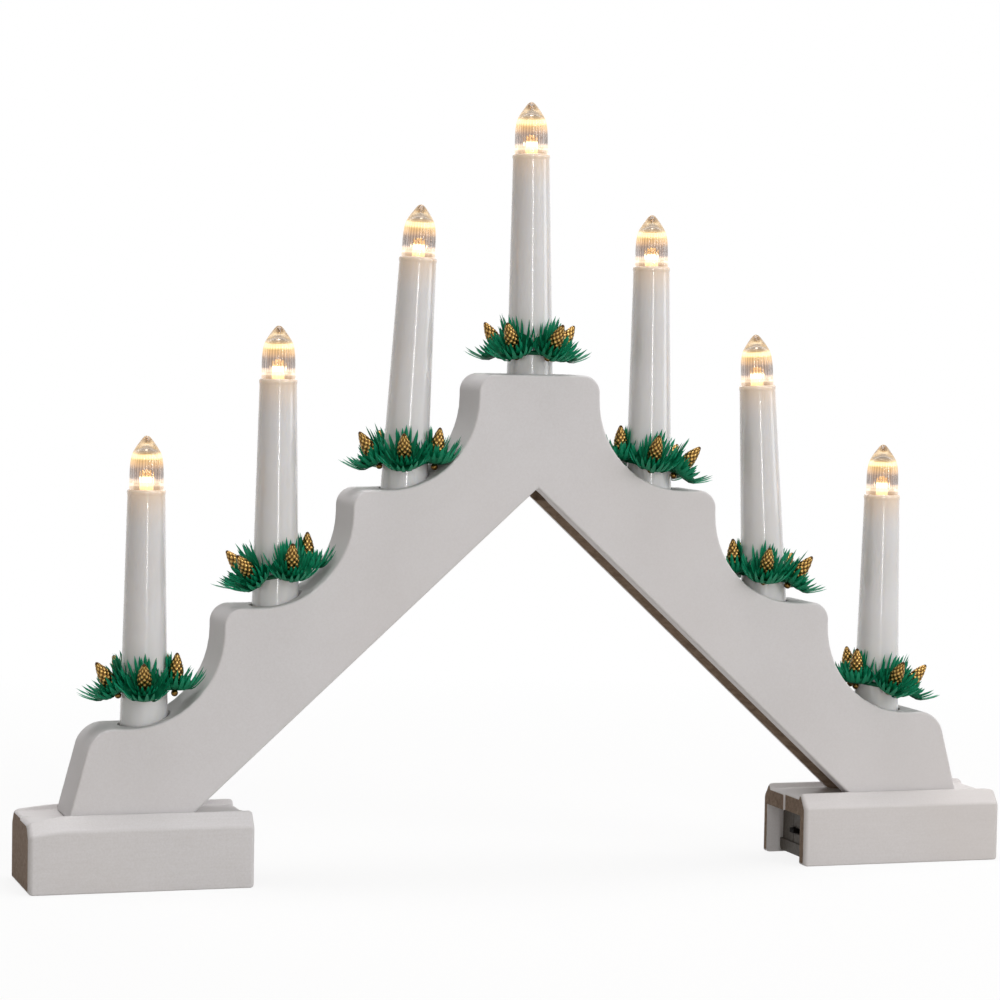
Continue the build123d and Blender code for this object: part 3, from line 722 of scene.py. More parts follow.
def bulb(index):
    """A ribbed bullet shaped cap, ribs outside and a smooth hollow inside, with its skirt in the sleeve."""
    bm = bmesh.new()
    # The glow, level and rib layers carry the painted glow, tint and rib shade of the clear material.
    layers = [bm.verts.layers.float.new(name) for name in ("glow", "level", "rib")]

    def ring(radius, level, ribbed=0.0, light=0.0):
        verts = []
        for k in range(BULB_SIDES):
            angle = math.tau * k / BULB_SIDES
            valley = ribbed * (0.5 + 0.5 * math.cos(BULB_RIBS * angle))
            vert = bm.verts.new(polar(radius - RIB_DEPTH * valley, angle, BULB_H * level))
            for layer, value in zip(layers, (light, level, valley)):
                vert[layer] = value
            verts.append(vert)
        return verts

    outside = [ring(SKIRT_R - SKIRT_WALL, SKIRT_LEVEL), ring(SKIRT_R, SKIRT_LEVEL), ring(SKIRT_R, SKIRT_STOP)]
    outside += [ring(BULB_R * width, level, ribbed, light) for level, width, ribbed, light in BULB_PROFILE]
    inside = [ring(BULB_R * width, level, 0.0, light) for level, width, light in BULB_HOLLOW]
    top = bm.verts.new((0, 0, BULB_H))
    roof = bm.verts.new((0, 0, BULB_H * ROOF_LEVEL))
    skin(bm, [[roof]] + inside[::-1] + outside + [[top]])
    matrix = tube_matrix(index) @ shift(0, 0, TUBE_LENGTH)
    numbered(bm, index, "bulb_%d_clear", CLEAR, "bulb_%d", 60, matrix)


LENS_R, LENS_FLANGE, FLANGE_H, LENS_H, LENS_LIFT = 2.5, 2.9, 0.9, 8.6, 3.0
LENS_LEVELS = (1.0, 3.0, 4.2, 5.0)
# Height up the lens, and the light given off below it
LAMP_GLOW = ((3.5, 1.0), (4.8, 2.6), (5.5, 5.0), (9.0, 0.04))


def lamp(index):
    """The round lens of the lamp on its flange."""
    profile = [(0, 0), (LENS_FLANGE, 0), (LENS_FLANGE, FLANGE_H)] + [(LENS_R, level) for level in LENS_LEVELS]
    for degrees in range(0, 90, 15):
        turn = math.radians(degrees)
        profile.append((LENS_R * math.cos(turn), LENS_H - LENS_R + LENS_R * math.sin(turn)))
    bm = lathe(profile + [(0, LENS_H)], 32)
    layer = bm.verts.layers.float.new("glow")
    for vert in bm.verts:
        vert[layer] = next(light for top, light in LAMP_GLOW if vert.co.z < top)
    matrix = tube_matrix(index) @ shift(0, 0, TUBE_LENGTH - SKIRT_D + LENS_LIFT)
    numbered(bm, index, "lamp_%d_lens", LAMP, "led_%d", 50, matrix)


HOLDER_R, HOLDER_H, HOLDER_EDGE, HOLDER_RIM = SKIRT_R - 0.9, 3.0, 0.2, 0.9
HOLDER_FLOOR, HOLDER_CORE = 2.6, 3.2


def holder(index):
    """A shallow cup with a raised core that carries the lamp in the skirt."""
    rim = HOLDER_R - HOLDER_RIM
    profile = [(0, 0), (HOLDER_R - HOLDER_EDGE, 0), (HOLDER_R, HOLDER_EDGE),
               (HOLDER_R, HOLDER_H - HOLDER_EDGE), (HOLDER_R - HOLDER_EDGE, HOLDER_H),
               (rim, HOLDER_H), (rim - HOLDER_EDGE, HOLDER_FLOOR),
               (HOLDER_CORE, HOLDER_FLOOR), (HOLDER_CORE, HOLDER_H), (0, HOLDER_H)]
    matrix = tube_matrix(index) @ shift(0, 0, TUBE_LENGTH - SKIRT_D)
    numbered(lathe(profile, 40), index, "lamp_%d_holder", HOLDER, "lamp_holder_%d", 40,
             matrix)


# Pine rings

def ring_matrix(index):
    """The middle of a ring, tipped and turned on its candle."""
    level = shift(0, 0, TUBE_LENGTH * RING_HEIGHTS[index])
    return candle_matrix(index) @ level @ rotation("Y", RING_TILTS[index]) @ rotation("Z", RING_TURNS[index])


def ring_radius(index):
    height = TUBE_LENGTH * RING_HEIGHTS[index] + SOCKET_DEPTH * SINKS[index]
    return tube_radius(height) / math.cos(math.radians(RING_TILTS[index])) + RING_GAP + RING_WIRE


def tuft_place(index, tuft):
    """A tuft's foot on the ring; tufts beside a riser stand upright."""
    angle = 360 * tuft / TUFTS - 90
    side = index - SIDE_STEPS
    push = 0
    if side:
        push = max(0, -math.copysign(1, side) * math.cos(math.radians(angle + RING_TURNS[index])))
    reach = ring_radius(index) + TUFT_REACH + RISER_SHIFT * push
    lean = TUFT_TILT * (1 - push) + abs(RING_TILTS[index]) * push
    foot = rotation("Z", angle) @ shift(reach, 0, -TUFT_SINK) @ rotation("Y", lean)
    return ring_matrix(index) @ foot


BLADE_LAYERS = (
    # count, foot radius, foot height, run, run angle, length, end angle, width
    (25, 1.6, 0.2, 4.9, 80, 9.8, 35, 1.65),
    (19, 1.3, 0.9, 3.3, 67, 9.4, 23, 1.5),
    (12, 1.2, 1.4, 2.2, 52, 8.4, 10, 1.4),
)
BLADE_WIDTHS = (0.40, 0.75, 1.0, 1.0, 0.94, 0.72, 0.0)
# Share of the run, share of the length, and how far each span has bent to the end angle
BLADE_SPANS = ((0.5, 0.0, 0.0), (0.5, 0.0, 0.1), (0.0, 0.18, 0.55), (0.0, 0.27, 0.9), (0.0, 0.27, 1.0),
               (0.0, 0.28, 1.12))
BLADE_SECTION = ((0.0, 0.5), (0.5, 0.0), (0.0, -0.5), (-0.5, 0.0))
BLADE_THICK, BLADE_HOLLOW, BLADE_GAP = 0.42, 0.25, 0.6
MOST_UPRIGHT, UPRIGHT_STEP = -0.9, 0.12
SIDE_TRIM, INNER_TRIM, INNER_FOOT = 0.32, 0.5, 1.5


def blade(bm, layer, path, widths, across):
    """A flat pointed needle along a path, a little hollow on its inner face."""
    rings = []
    last = len(path) - 1
    for k, (point, width) in enumerate(zip(path, widths)):
        ahead = (path[min(k + 1, last)] - path[max(k - 1, 0)]).normalized()
        side = (across - ahead * across.dot(ahead)).normalized()
        out = side.cross(ahead)
        ring = []
        for a, b in BLADE_SECTION if k < last else ((0.0, 0.0),):
            spot = point + side * (a * width) + out * (b * BLADE_THICK + abs(a) * width * BLADE_HOLLOW)
            vert = bm.verts.new(spot)
            # The tip layer runs from the root to the end of the needle, for painted shade and painted light.
            vert[layer] = k / last
            ring.append(vert)
        rings.append(ring)
    skin(bm, rings)
    bm.faces.new(rings[0])


def blade_path(turn, foot, height, run, run_angle, length, end_angle, limit):
    """Points of one needle in the tuft's frame: out along the bowl's floor, then up at its rim."""
    radius = foot
    points = [polar(radius, turn, height)]
    for run_share, length_share, bend in BLADE_SPANS:
        span = run * run_share + length * length_share
        angle = math.radians((run_angle + (end_angle - run_angle) * bend) * limit)
        radius += span * math.sin(angle)
        height += span * math.cos(angle)
        points.append(polar(radius, turn, height))
    return points


def clear_of(points, place, index):
    """True where all points of a needle stay off the sleeve and the board."""
    inverse = tube_matrix(index).inverted()
    for point in points:
        spot = place @ point
        local = inverse @ spot
        if math.hypot(local.x, local.y) < tube_radius(min(local.z, TUBE_LENGTH)) + BLADE_GAP:
            return False
        nearest, normal, _, distance = BOARD_TREE.find_nearest(spot * MM)
        if distance < BLADE_GAP * MM or (spot * MM - nearest).dot(normal) < 0:
            return False
    return True


def tuft_blades(bm, layer, index, place, rng):
    """One tuft: layers of broad needles that open like a bowl, pulled upright where the candle is near."""
    for count, foot, height, run, run_angle, length, end_angle, width in BLADE_LAYERS:
        first_turn = rng.random() * math.tau
        for k in range(count):
            turn = first_turn + math.tau * (k + rng.uniform(-0.16, 0.16)) / count
            reach = length * rng.uniform(0.84, 1.08) * (1.0 - SIDE_TRIM * abs(math.sin(turn)) ** 3)
            if foot < INNER_FOOT and math.cos(turn) > 0.5:
                reach *= INNER_TRIM
            limit = rng.uniform(0.93, 1.07)
            broad = width * rng.uniform(0.85, 1.08)
            while limit > MOST_UPRIGHT:
                path = blade_path(turn, foot, height, run, run_angle, reach, end_angle, limit)
                if clear_of(path, place, index):
                    across = place.to_3x3() @ Vector((-math.sin(turn), math.cos(turn), 0))
                    blade(bm, layer, [place @ p for p in path], [broad * w for w in BLADE_WIDTHS], across)
                    break
                limit -= UPRIGHT_STEP


CUP_PROFILE = ((0.9, -0.1), (1.6, 0.15), (2.3, 0.7), (2.7, 1.5), (2.6, 2.3), (2.0, 2.7), (1.0, 2.8))
CUP_SIDES, BOWL_SIDES, BOWL_SHELL, BOWL_SINK, BOWL_POINTS = 18, 36, 0.4, 0.2, 5
BOWL_FOOT, BOWL_LENGTH = 0.6, 0.5


def tuft_bowl(bm, layer, place, index):
    """The closed floor of a tuft, from its stem out to where the outer needles have turned up."""
    _, foot, height, run, run_angle, length, end_angle, _ = BLADE_LAYERS[0]
    inner = foot * BOWL_FOOT
    run += foot * 0.4
    columns = []
    for k in range(BOWL_SIDES):
        turn = math.tau * k / BOWL_SIDES
        limit = 1.0
        while limit > MOST_UPRIGHT:
            path = blade_path(turn, inner, height - BOWL_SINK, run, run_angle, length * BOWL_LENGTH,
                              end_angle, limit)[:BOWL_POINTS]
            if clear_of(path, place, index):
                break
            limit -= UPRIGHT_STEP / 2
        shell = path + [p + Vector((0, 0, BOWL_SHELL)) for p in reversed(path)]
        column = [bm.verts.new(place @ point) for point in shell]
        for step, vert in enumerate(column):
            # The bowl takes low tip values: painted shade.
            vert[layer] = 0.1 + 0.05 * min(step, len(shell) - 1 - step)
        columns.append(column)
    skin(bm, columns, closed=True)


def pine_ring(index):
    """The wire ring with its tufts."""
    rng = random.Random(700 + index)
    sides = 72
    circle = [polar(ring_radius(index), math.tau * k / sides, 0) for k in range(sides)]
    bm = tube_along(circle, RING_WIRE, 12, closed=True)
    bm.transform(ring_matrix(index))
    # The tip layer: low at the roots for painted shade, high at the needle ends for painted light.
    layer = bm.verts.layers.float.new("tip")
    for tuft in range(TUFTS):
        place = tuft_place(index, tuft)
        turned(bm, layer, 0.1, place, CUP_PROFILE, CUP_SIDES)
        tuft_bowl(bm, layer, place, index)
        tuft_blades(bm, layer, index, place, rng)
    numbered(bm, index, "pine_ring_%d", NEEDLES, "ring_tufts_%d", 50)


CONE_L, CONE_R, CONE_FOOT = 12.2, 3.05, 2.1
CONE_ROWS, CONE_TURNS, CONE_RELIEF = 5.0, 7, 0.22
CONE_SIDES, CONE_LEVELS = 56, 44
CONE_PROFILE = ((0.0, 0.34), (0.05, 0.62), (0.12, 0.83), (0.22, 0.97), (0.32, 1.0), (0.44, 0.98),
                (0.56, 0.90), (0.68, 0.76), (0.80, 0.57), (0.90, 0.38), (0.95, 0.27), (0.97, 0.23),
                (0.99, 0.18), (1.0, 0.06))
STEM_R, STEM_DROP, STEM_SIDES, STEM_STACKS = 1.35, 1.3, 20, 10


def cone_width(level):
    for (a, low), (b, high) in zip(CONE_PROFILE, CONE_PROFILE[1:]):
        if level <= b:
            return low + (high - low) * ((level - a) / (b - a))


def scaled_cone(bm, layer, place):
    """A small fir cone with a spiral lattice of raised scales."""
    rings = []
    for row in range(CONE_LEVELS + 1):
        level = row / CONE_LEVELS
        ring = []
        for k in range(CONE_SIDES):
            angle = math.tau * k / CONE_SIDES
            u = angle / math.tau * CONE_TURNS
            v = level * CONE_ROWS
            a, b = (u + v) % 1.0, (u - v) % 1.0
            peak = (1 - abs(2 * a - 1)) * (1 - abs(2 * b - 1))
            rise = min(1.0, 1.5 * peak ** 0.6) * (0.4 + 0.3 * (a + 1 - b))
            radius = CONE_R * cone_width(level) * (1 - CONE_RELIEF + CONE_RELIEF * rise)
            vert = bm.verts.new(place @ polar(radius, angle, CONE_L * level))
            # The tip layer holds the scale's rise, for the painted highlight and painted shade.
            vert[layer] = rise if level < 0.95 else 0.0
            ring.append(vert)
        rings.append(ring)
    skin(bm, rings, caps=True)


def ring_cones(index):
    """The cones in the tufts of a ring, and the round end of each stem below."""
    bm = bmesh.new()
    layer = bm.verts.layers.float.new("tip")
    tilts = [math.pi * row / STEM_STACKS for row in range(1, STEM_STACKS)]
    stem = [(STEM_R * math.sin(tilt), -STEM_DROP - STEM_R * math.cos(tilt)) for tilt in tilts]
    for tuft in range(TUFTS):
        place = tuft_place(index, tuft)
        scaled_cone(bm, layer, place @ shift(0, 0, CONE_FOOT) @ rotation("Z", 31 * tuft + 17 * index))
        turned(bm, layer, 0.35, place, stem, STEM_SIDES)
    numbered(bm, index, "gilded_cones_%d", GOLD, "ring_cones_%d", 70)


# Feet

FOOT_LENGTH, OVERHANG, FOOT_DEPTH, FOOT_HEIGHT = 86.4, 16.0, 42.0, 28.9
FOOT_END = OUTER_SPAN + OVERHANG
MOUTH = FOOT_END - FOOT_LENGTH
RIDGE, RIDGE_SLOPE, BEVEL_W, BEVEL_D = 1.0, 0.8, 5.2, 5.2
FRONT_WALL, REAR_WALL, END_WALL = 5.4, 4.2, 9.0
# By side and depth: how far a half stands out at the mouth, and the drop and reach of the wear at its end
SLIPS = {(-1, -1): 0.0, (-1, 1): -0.8, (1, -1): 0.0, (1, 1): 0.9}
WEAR = {(-1, -1): (2.5, 14.0), (-1, 1): (1.7, 17.0), (1, -1): (0.5, 7.0), (1, 1): (0.5, 7.0)}
END_ROUND, MOUTH_ROUND, ROUND_STEPS, FOOT_COLUMNS = 2.0, 1.7, 5, 30
CHANNEL_OVERRUN, DROP_HOLE_L = 5, 20
MAIN_LEAD, THIN_LEAD, LEAD_GAP = 1.1, 0.8, 0.1
CASE_TOP = 1.2


def foot_stations(mouth, side, depth_side):
    """Places along a foot, with how far each is rounded off and worn down there."""
    turns = [math.pi / 2 * k / ROUND_STEPS for k in range(ROUND_STEPS)]
    low, high = mouth + MOUTH_ROUND, FOOT_END - END_ROUND
    stations = [(mouth + MOUTH_ROUND * (1 - math.cos(t)), MOUTH_ROUND * (1 - math.sin(t))) for t in turns]
    stations += [(low + (high - low) * k / FOOT_COLUMNS, 0.0) for k in range(FOOT_COLUMNS + 1)]
    stations += [(FOOT_END - END_ROUND * (1 - math.cos(t)), END_ROUND * (1 - math.sin(t)))
                 for t in reversed(turns)]
    drop, reach = WEAR[(side, depth_side)]
    return [(x, off, drop * max(0.0, 1 - (FOOT_END - x) / reach) ** 1.3) for x, off in stations]


def softened(corners):
    """The outline of (x, z, reach) corners with a short curve at each."""
    spots = [Vector(corner[:2]) for corner in corners]
    points = []
    for k, (_, _, reach) in enumerate(corners):
        points += eased(spots[k - 1], spots[k], spots[(k + 1) % len(spots)], reach, 0.45, 3)
    return points


def foot_section(off, worn):
    """The cross-section of a foot's half, from the seam outwards."""
    outer = FOOT_DEPTH / 2
    ridge = outer - BEVEL_W
    seat = SEAT - 0.35 * off - max(0.0, worn - 1.8)
    top = FOOT_HEIGHT - 0.7 * off - worn
    shoulder = FOOT_HEIGHT - BEVEL_D - 0.5 * off - 0.7 * worn
    foot = 0.6 * off
    return softened([(0, foot, 0.3), (0, seat, 0.3), (ridge - RIDGE - RIDGE_SLOPE, seat, 0.4),
                     (ridge - RIDGE, top, 0.4), (ridge, top, 0.5), (outer - off, shoulder, 0.9),
                     (outer - off, foot, 0.7)])


def groove_line(side):
    """The top of a leg's main lead, and its way down."""
    down, into = leg_axes(side)
    room = GROOVE_R - MAIN_LEAD - LEAD_GAP
    depth = math.sqrt(room ** 2 - GROOVE_OFFSET ** 2) - (GROOVE_R - GROOVE_DEPTH)
    return Vector((0, 0, APEX)) + into * depth, down


def lead_drop():
    """The ends of the main lead's way from the right groove down into the case."""
    start, down = groove_line(1)
    top = start + down * ((start.z - SEAT - MAIN_LEAD) / math.sin(LEG_ANGLE))
    return top, Vector((top.x, 0, CHANNEL_H - CASE_TOP - 0.5))


def foot_half(side, depth_side):
    """One half of a foot: painted along its length, bare at its sawn ends."""
    name = "%s_foot_%s" % ("left" if side < 0 else "right", "front" if depth_side < 0 else "rear")
    mouth = MOUTH - SLIPS[(side, depth_side)]
    bm = bmesh.new()
    rings = []
    for x, off, worn in foot_stations(mouth, side, depth_side):
        rings.append([bm.verts.new((side * x, depth_side * p.x, p.y)) for p in foot_section(off, worn)])
    skin(bm, rings, caps=True)
    mesh = mesh_of(bm, name + "_painted")
    for polygon in mesh.polygons:
        polygon.material_index = int(abs(polygon.normal.x) > 0.999)
    obj = linked(name + "_painted", mesh, (FOOT_PAINT, BARE_WOOD))
    inner = FOOT_DEPTH / 2 - (FRONT_WALL if depth_side < 0 else REAR_WALL)
    x_low, x_high = sorted((side * (mouth - CHANNEL_OVERRUN), side * (FOOT_END - END_WALL)))
    y_low, y_high = sorted((-depth_side * CHANNEL_OVERRUN, depth_side * inner))
    cut(obj, tool_object(box_bm((x_low, y_low, -CHANNEL_OVERRUN), (x_high, y_high, CHANNEL_H))))
    head, shank = SCREW_HEAD + HOLE_GAP, SCREW_R + HOLE_GAP
    for x, y in screw_spots(side):
        if y * depth_side > 0:
            hole = lathe([(0, -OVERRUN), (head, -OVERRUN), (head, 0), (shank, SCREW_HEAD_H), (shank, SCREW_L),
                          (0, SCREW_L)], 32)
            cut(obj, tool_object(hole, shift(x, y, CHANNEL_H), bare=True))
    if side > 0:
        place = shift(lead_drop()[0].x, 0, CHANNEL_H - CHANNEL_OVERRUN)
        cut(obj, tool_object(rod_bm(LEAD_HOLE, DROP_HOLE_L), place, bare=True))
    finish_piece(obj, "root", name)


# Leads and screws

LEAD_BEND, LEAD_SIDES = 2.0, 14
THREAD_PITCH, THREAD_DEPTH, SCREW_TIP = 1.2, 0.35, 1.6
RECESS_LONG, RECESS_SHORT, RECESS_DEPTH = 1.7, 0.35, 1.1


def lead_line(points, radius):
    """A lead with its corners rounded a little."""
    line = [points[0]]
    for before, here, after in zip(points, points[1:], points[2:]):
        line += eased(before, here, after, LEAD_BEND, 0.5, 5)
    return tube_along(line + [points[-1]], radius, LEAD_SIDES)


def main_lead():
    """The lead along both grooves and down into the case."""
    left, down = groove_line(-1)
    length = (left.z - LOWEST_STEP) / math.sin(LEG_ANGLE) + LOWEST_STEP / 3
    peak = Vector((0, 0, left.z - left.x * math.tan(LEG_ANGLE)))
    bm = lead_line([left + down * length, peak, *lead_drop()], MAIN_LEAD)
    piece(bm, "main_lead_cover", LEAD, "main_lead", 60)


def candle_leads():
    """The leads from the lamps through the board into the grooves."""
    parts = []
    for index in range(CANDLES):
        start = tube_matrix(index) @ Vector((0, 0, TUBE_LENGTH - SKIRT_D))
        floor = candle_matrix(index) @ Vector((0, 0, -SOCKET_DEPTH + LEAD_GAP))
        end = lead_way_end(index)
        clear = GROOVE_ROOF + LEAD_GAP
        if index == SIDE_STEPS:
            clear /= math.cos(LEG_ANGLE)
        parts.append(lead_line([start, floor, end + (floor - end).normalized() * clear], THIN_LEAD))
    piece(joined(parts), "candle_lead_covers", LEAD, "candle_leads", 60)


def foot_screws():
    """Countersunk screws with a cross recess in each head, head down in the channel's ceiling."""
    root = SCREW_R - THREAD_DEPTH
    profile = [(0, 0), (SCREW_HEAD - 0.15, 0), (SCREW_HEAD, 0.15), (SCREW_R, SCREW_HEAD_H)]
    height = SCREW_HEAD_H
    while height < SCREW_L - 3.5:
        profile += [(SCREW_R, height + 0.25), (root, height + 0.6), (root, height + 0.85)]
        height += THREAD_PITCH
        profile.append((SCREW_R, height))
    profile += [(SCREW_R * 0.7, SCREW_L - SCREW_TIP), (0, SCREW_L)]
    spots = screw_spots(-1) + screw_spots(1)
    parts = []
    for x, y in spots:
        bm = lathe(profile, 32)
        bm.transform(shift(x, y, CHANNEL_H))
        parts.append(bm)
    obj = linked("foot_screws_steel", mesh_of(joined(parts), "foot_screws_steel"), [STEEL])
    for x, y in spots:
        for a, b in ((RECESS_LONG, RECESS_SHORT), (RECESS_SHORT, RECESS_LONG)):
            recess = box_bm((x - a, y - b, CHANNEL_H - OVERRUN), (x + a, y + b, CHANNEL_H + RECESS_DEPTH))
            cut(obj, tool_object(recess))
    dressed(obj, "root", "foot_screws")
    smooth(obj, 30)


# Battery case, lid, cells and switch

CASE_START = MOUTH + 5.8
CASE_STOP = CASE_START + 69.0
CASE_MID = (-(FOOT_DEPTH / 2 - FRONT_WALL) + FOOT_DEPTH / 2 - REAR_WALL) / 2
CELL_R, CELL_GAP, CELL_L, NUB_R, NUB_L = 6.9, 0.1, 49.2, 2.7, 1.2
CELL_STEP, NUB_COLLAR, CELL_SLACK = 0.3, 1.2, 0.4
CELL_HALF = 2 * CELL_R + 2 * CELL_GAP
CASE_HALF = CELL_HALF + 0.7
FLANGE_HALF = CASE_HALF + 0.5
LID_GAP, LID_WALL, LID_PLATE, LID_LIP = 0.15, 0.6, 1.1, 2.4
LID_HALF = FLANGE_HALF + LID_GAP + LID_WALL
LID_ROUND, LIP_GAP = 1.7, 0.2
CASE_FOOT, CASE_FLANGE_H, CASE_END, BAY_WALL = 2.3, 1.1, 1.2, 1.0
BAY_START = CASE_START + CASE_END + 9.0 + BAY_WALL
BAY_STOP = CASE_STOP - CASE_END
SEAM, SEAM_DEPTH = 0.3, 0.3
LID_RIBS, RIB_START, RIB_PITCH, RIB_W, RIB_HALF, RIB_CUT = 6, 5, 2.2, 1.0, 9, 0.4
SWITCH_MID = CASE_MID + CELL_GAP
SWITCH_H, SLOT_L, SLOT_H = 11.0, 11.0, 3.1
HOUSING_D, HOUSING_RIM = 5, 1.4
WINDOW_HALF, WINDOW_RISE, WINDOW_D = 4.3, 1.1, 2.6
KNOB_L, KNOB_RISE, KNOB_OUT, KNOB_IN, KNOB_GAP = 4, 0.9, 1.6, 2.4, 0.2
KNOB_GRIPS, GRIP_START, GRIP_PITCH, GRIP_HALF, GRIP_DEPTH = 4, 3.4, 0.8, 0.15, 0.35


def span(x_low, x_high, middle, half, low, high):
    """The corners of a box that lies evenly about a middle depth."""
    return (x_low, middle - half, low), (x_high, middle + half, high)


def carved(name, material, body, node, solids, cuts, rim=0.2, tool=None, operation="DIFFERENCE"):
    """Boxes joined, other boxes cut away, one more tool used and the edges softened."""
    obj = linked(name, mesh_of(box_bm(*solids[0]), name), [material])
    for corners in solids[1:]:
        cut(obj, tool_object(box_bm(*corners)), "UNION")
    for corners in cuts:
        cut(obj, tool_object(box_bm(*corners)))
    if tool:
        cut(obj, tool, operation)
    while len(obj.data.materials) > 1:
        obj.data.materials.pop()
    for polygon in obj.data.polygons:
        polygon.material_index = 0
    bevel(obj, rim, 2, 40)
    finish_piece(obj, body, node)


def battery_case():
    """A case for two cells side by side, with flanges for the lid and a mouth for the switch."""
    entry = tool_object(rod_bm(LEAD_HOLE, 6), shift(lead_drop()[0].x, 0, CHANNEL_H - 4))
    ceiling = CHANNEL_H - CASE_TOP
    seam = CASE_MID + CASE_HALF * 0.24
    carved(
        "battery_case_shell", CASE, "root", "battery_case",
        [span(CASE_START, CASE_STOP, CASE_MID, CASE_HALF, CASE_FOOT, CHANNEL_H),
         span(CASE_START, CASE_STOP, CASE_MID, FLANGE_HALF, CASE_FOOT, CASE_FOOT + CASE_FLANGE_H)],
        [span(BAY_START, BAY_STOP, CASE_MID, CELL_HALF, 0, ceiling),
         span(CASE_START + CASE_END, BAY_START - BAY_WALL, CASE_MID, CELL_HALF, 0, ceiling),
         span(CASE_START - 2, CASE_START + 2.2, SWITCH_MID, SLOT_L / 2, SWITCH_H - SLOT_H / 2,
              SWITCH_H + SLOT_H / 2),
         ((CASE_START - OVERRUN, seam, CASE_FOOT - OVERRUN),
          (CASE_START + SEAM_DEPTH, seam + SEAM, CHANNEL_H + OVERRUN))],
        tool=entry,
    )


def battery_lid():
    """A plate with side lips, grip ribs near its front and a seam in its end."""
    floor = CASE_FOOT - LID_GAP - LID_PLATE
    lip = CASE_FOOT + CASE_FLANGE_H + LID_GAP
    top = lip + LID_LIP
    front = CASE_START - LID_GAP - LID_WALL
    bay = front + LID_WALL
    seam = CASE_MID - LID_HALF * 0.45
    outline = rounded([(-LID_HALF, floor, LID_ROUND), (LID_HALF, floor, LID_ROUND), (LID_HALF, top, 0),
                       (-LID_HALF, top, 0)], 15.0)
    form = extruded([(x - CASE_MID, z) for x, z in outline], front - OVERRUN, CASE_STOP + OVERRUN)
    starts = [CASE_START + RIB_START + RIB_PITCH * k for k in range(LID_RIBS)]
    ribs = [span(x, x + RIB_W, CASE_MID, RIB_HALF, floor - OVERRUN, floor + RIB_CUT) for x in starts]
    carved(
        "battery_lid_shell", CASE, "battery_lid", "battery_lid",
        [span(front, CASE_STOP, CASE_MID, LID_HALF, floor, top)],
        [span(bay, CASE_STOP + 2, CASE_MID, FLANGE_HALF + LID_GAP, floor + LID_PLATE, lip),
         span(bay, CASE_STOP + 2, CASE_MID, CASE_HALF + LIP_GAP, lip - OVERRUN, top + 2),
         ((front - OVERRUN, seam, floor - OVERRUN), (front + 0.25, seam + SEAM, top + OVERRUN))] + ribs,
        rim=0.15, tool=tool_object(form, rotation("Z", -90)), operation="INTERSECT",
    )


def cells():
    """Two cells side by side, head to tail."""
    parts = []
    height = CHANNEL_H - CASE_TOP - CELL_R - CELL_GAP
    half = (CELL_L + NUB_L) / 2
    foot = -half
    shoulder = foot + CELL_L
    profile = [(0, foot), (CELL_R - 0.5, foot), (CELL_R, foot + 0.4), (CELL_R, shoulder - 0.7),
               (CELL_R - 0.6, shoulder), (NUB_R + NUB_COLLAR, shoulder - CELL_STEP),
               (NUB_R, shoulder - CELL_STEP), (NUB_R, shoulder + NUB_L - 0.3),
               (NUB_R - 0.3, shoulder + NUB_L), (0, shoulder + NUB_L)]
    for row in (-1, 1):
        x = BAY_STOP - (half + CELL_SLACK) if row > 0 else BAY_START + (half + CELL_SLACK)
        bm = lathe(profile, 48)
        bm.transform(shift(x, CASE_MID + row * (CELL_R + CELL_GAP / 2), height) @ rotation("Y", 90 * row))
        parts.append(bm)
    piece(joined(parts), "battery_cells", CELL, "batteries", 40)


def switch():
    """The housing in the case's end wall, and the knob that slides in its window."""
    half, rise = SLOT_L / 2, SLOT_H / 2
    back = CASE_START + HOUSING_D
    carved(
        "switch_housing", HOUSING, "root", "switch_body",
        [span(CASE_START, back, SWITCH_MID, half, SWITCH_H - rise, SWITCH_H + rise),
         span(CASE_START + CASE_END, back, SWITCH_MID, half + HOUSING_RIM, SWITCH_H - rise - HOUSING_RIM,
              SWITCH_H + rise + HOUSING_RIM)],
        [span(CASE_START - 2, CASE_START + WINDOW_D, SWITCH_MID, WINDOW_HALF, SWITCH_H - WINDOW_RISE,
              SWITCH_H + WINDOW_RISE)],
    )
    rear = SWITCH_MID + WINDOW_HALF - KNOB_GAP
    face = CASE_START - KNOB_OUT
    middles = [rear - GRIP_START + GRIP_PITCH * k for k in range(KNOB_GRIPS)]
    grips = [span(CASE_START - 2, face + GRIP_DEPTH, y, GRIP_HALF, SWITCH_H - 2, SWITCH_H + 2)
             for y in middles]
    carved(
        "switch_knob", BLACK, "switch_slider", "switch_slider",
        [((face, rear - KNOB_L, SWITCH_H - KNOB_RISE), (CASE_START + KNOB_IN, rear, SWITCH_H + KNOB_RISE))],
        grips, rim=0.1,
    )


def contacts():
    """The CAD's own contacts, in metal."""
    for node in ("contact_plates", "contact_springs"):
        contact = frame["nodes"][node]
        if not contact.material_slots:
            contact.data.materials.append(CONTACT)
        for slot in contact.material_slots:
            slot.material = CONTACT


# Floor, light and camera

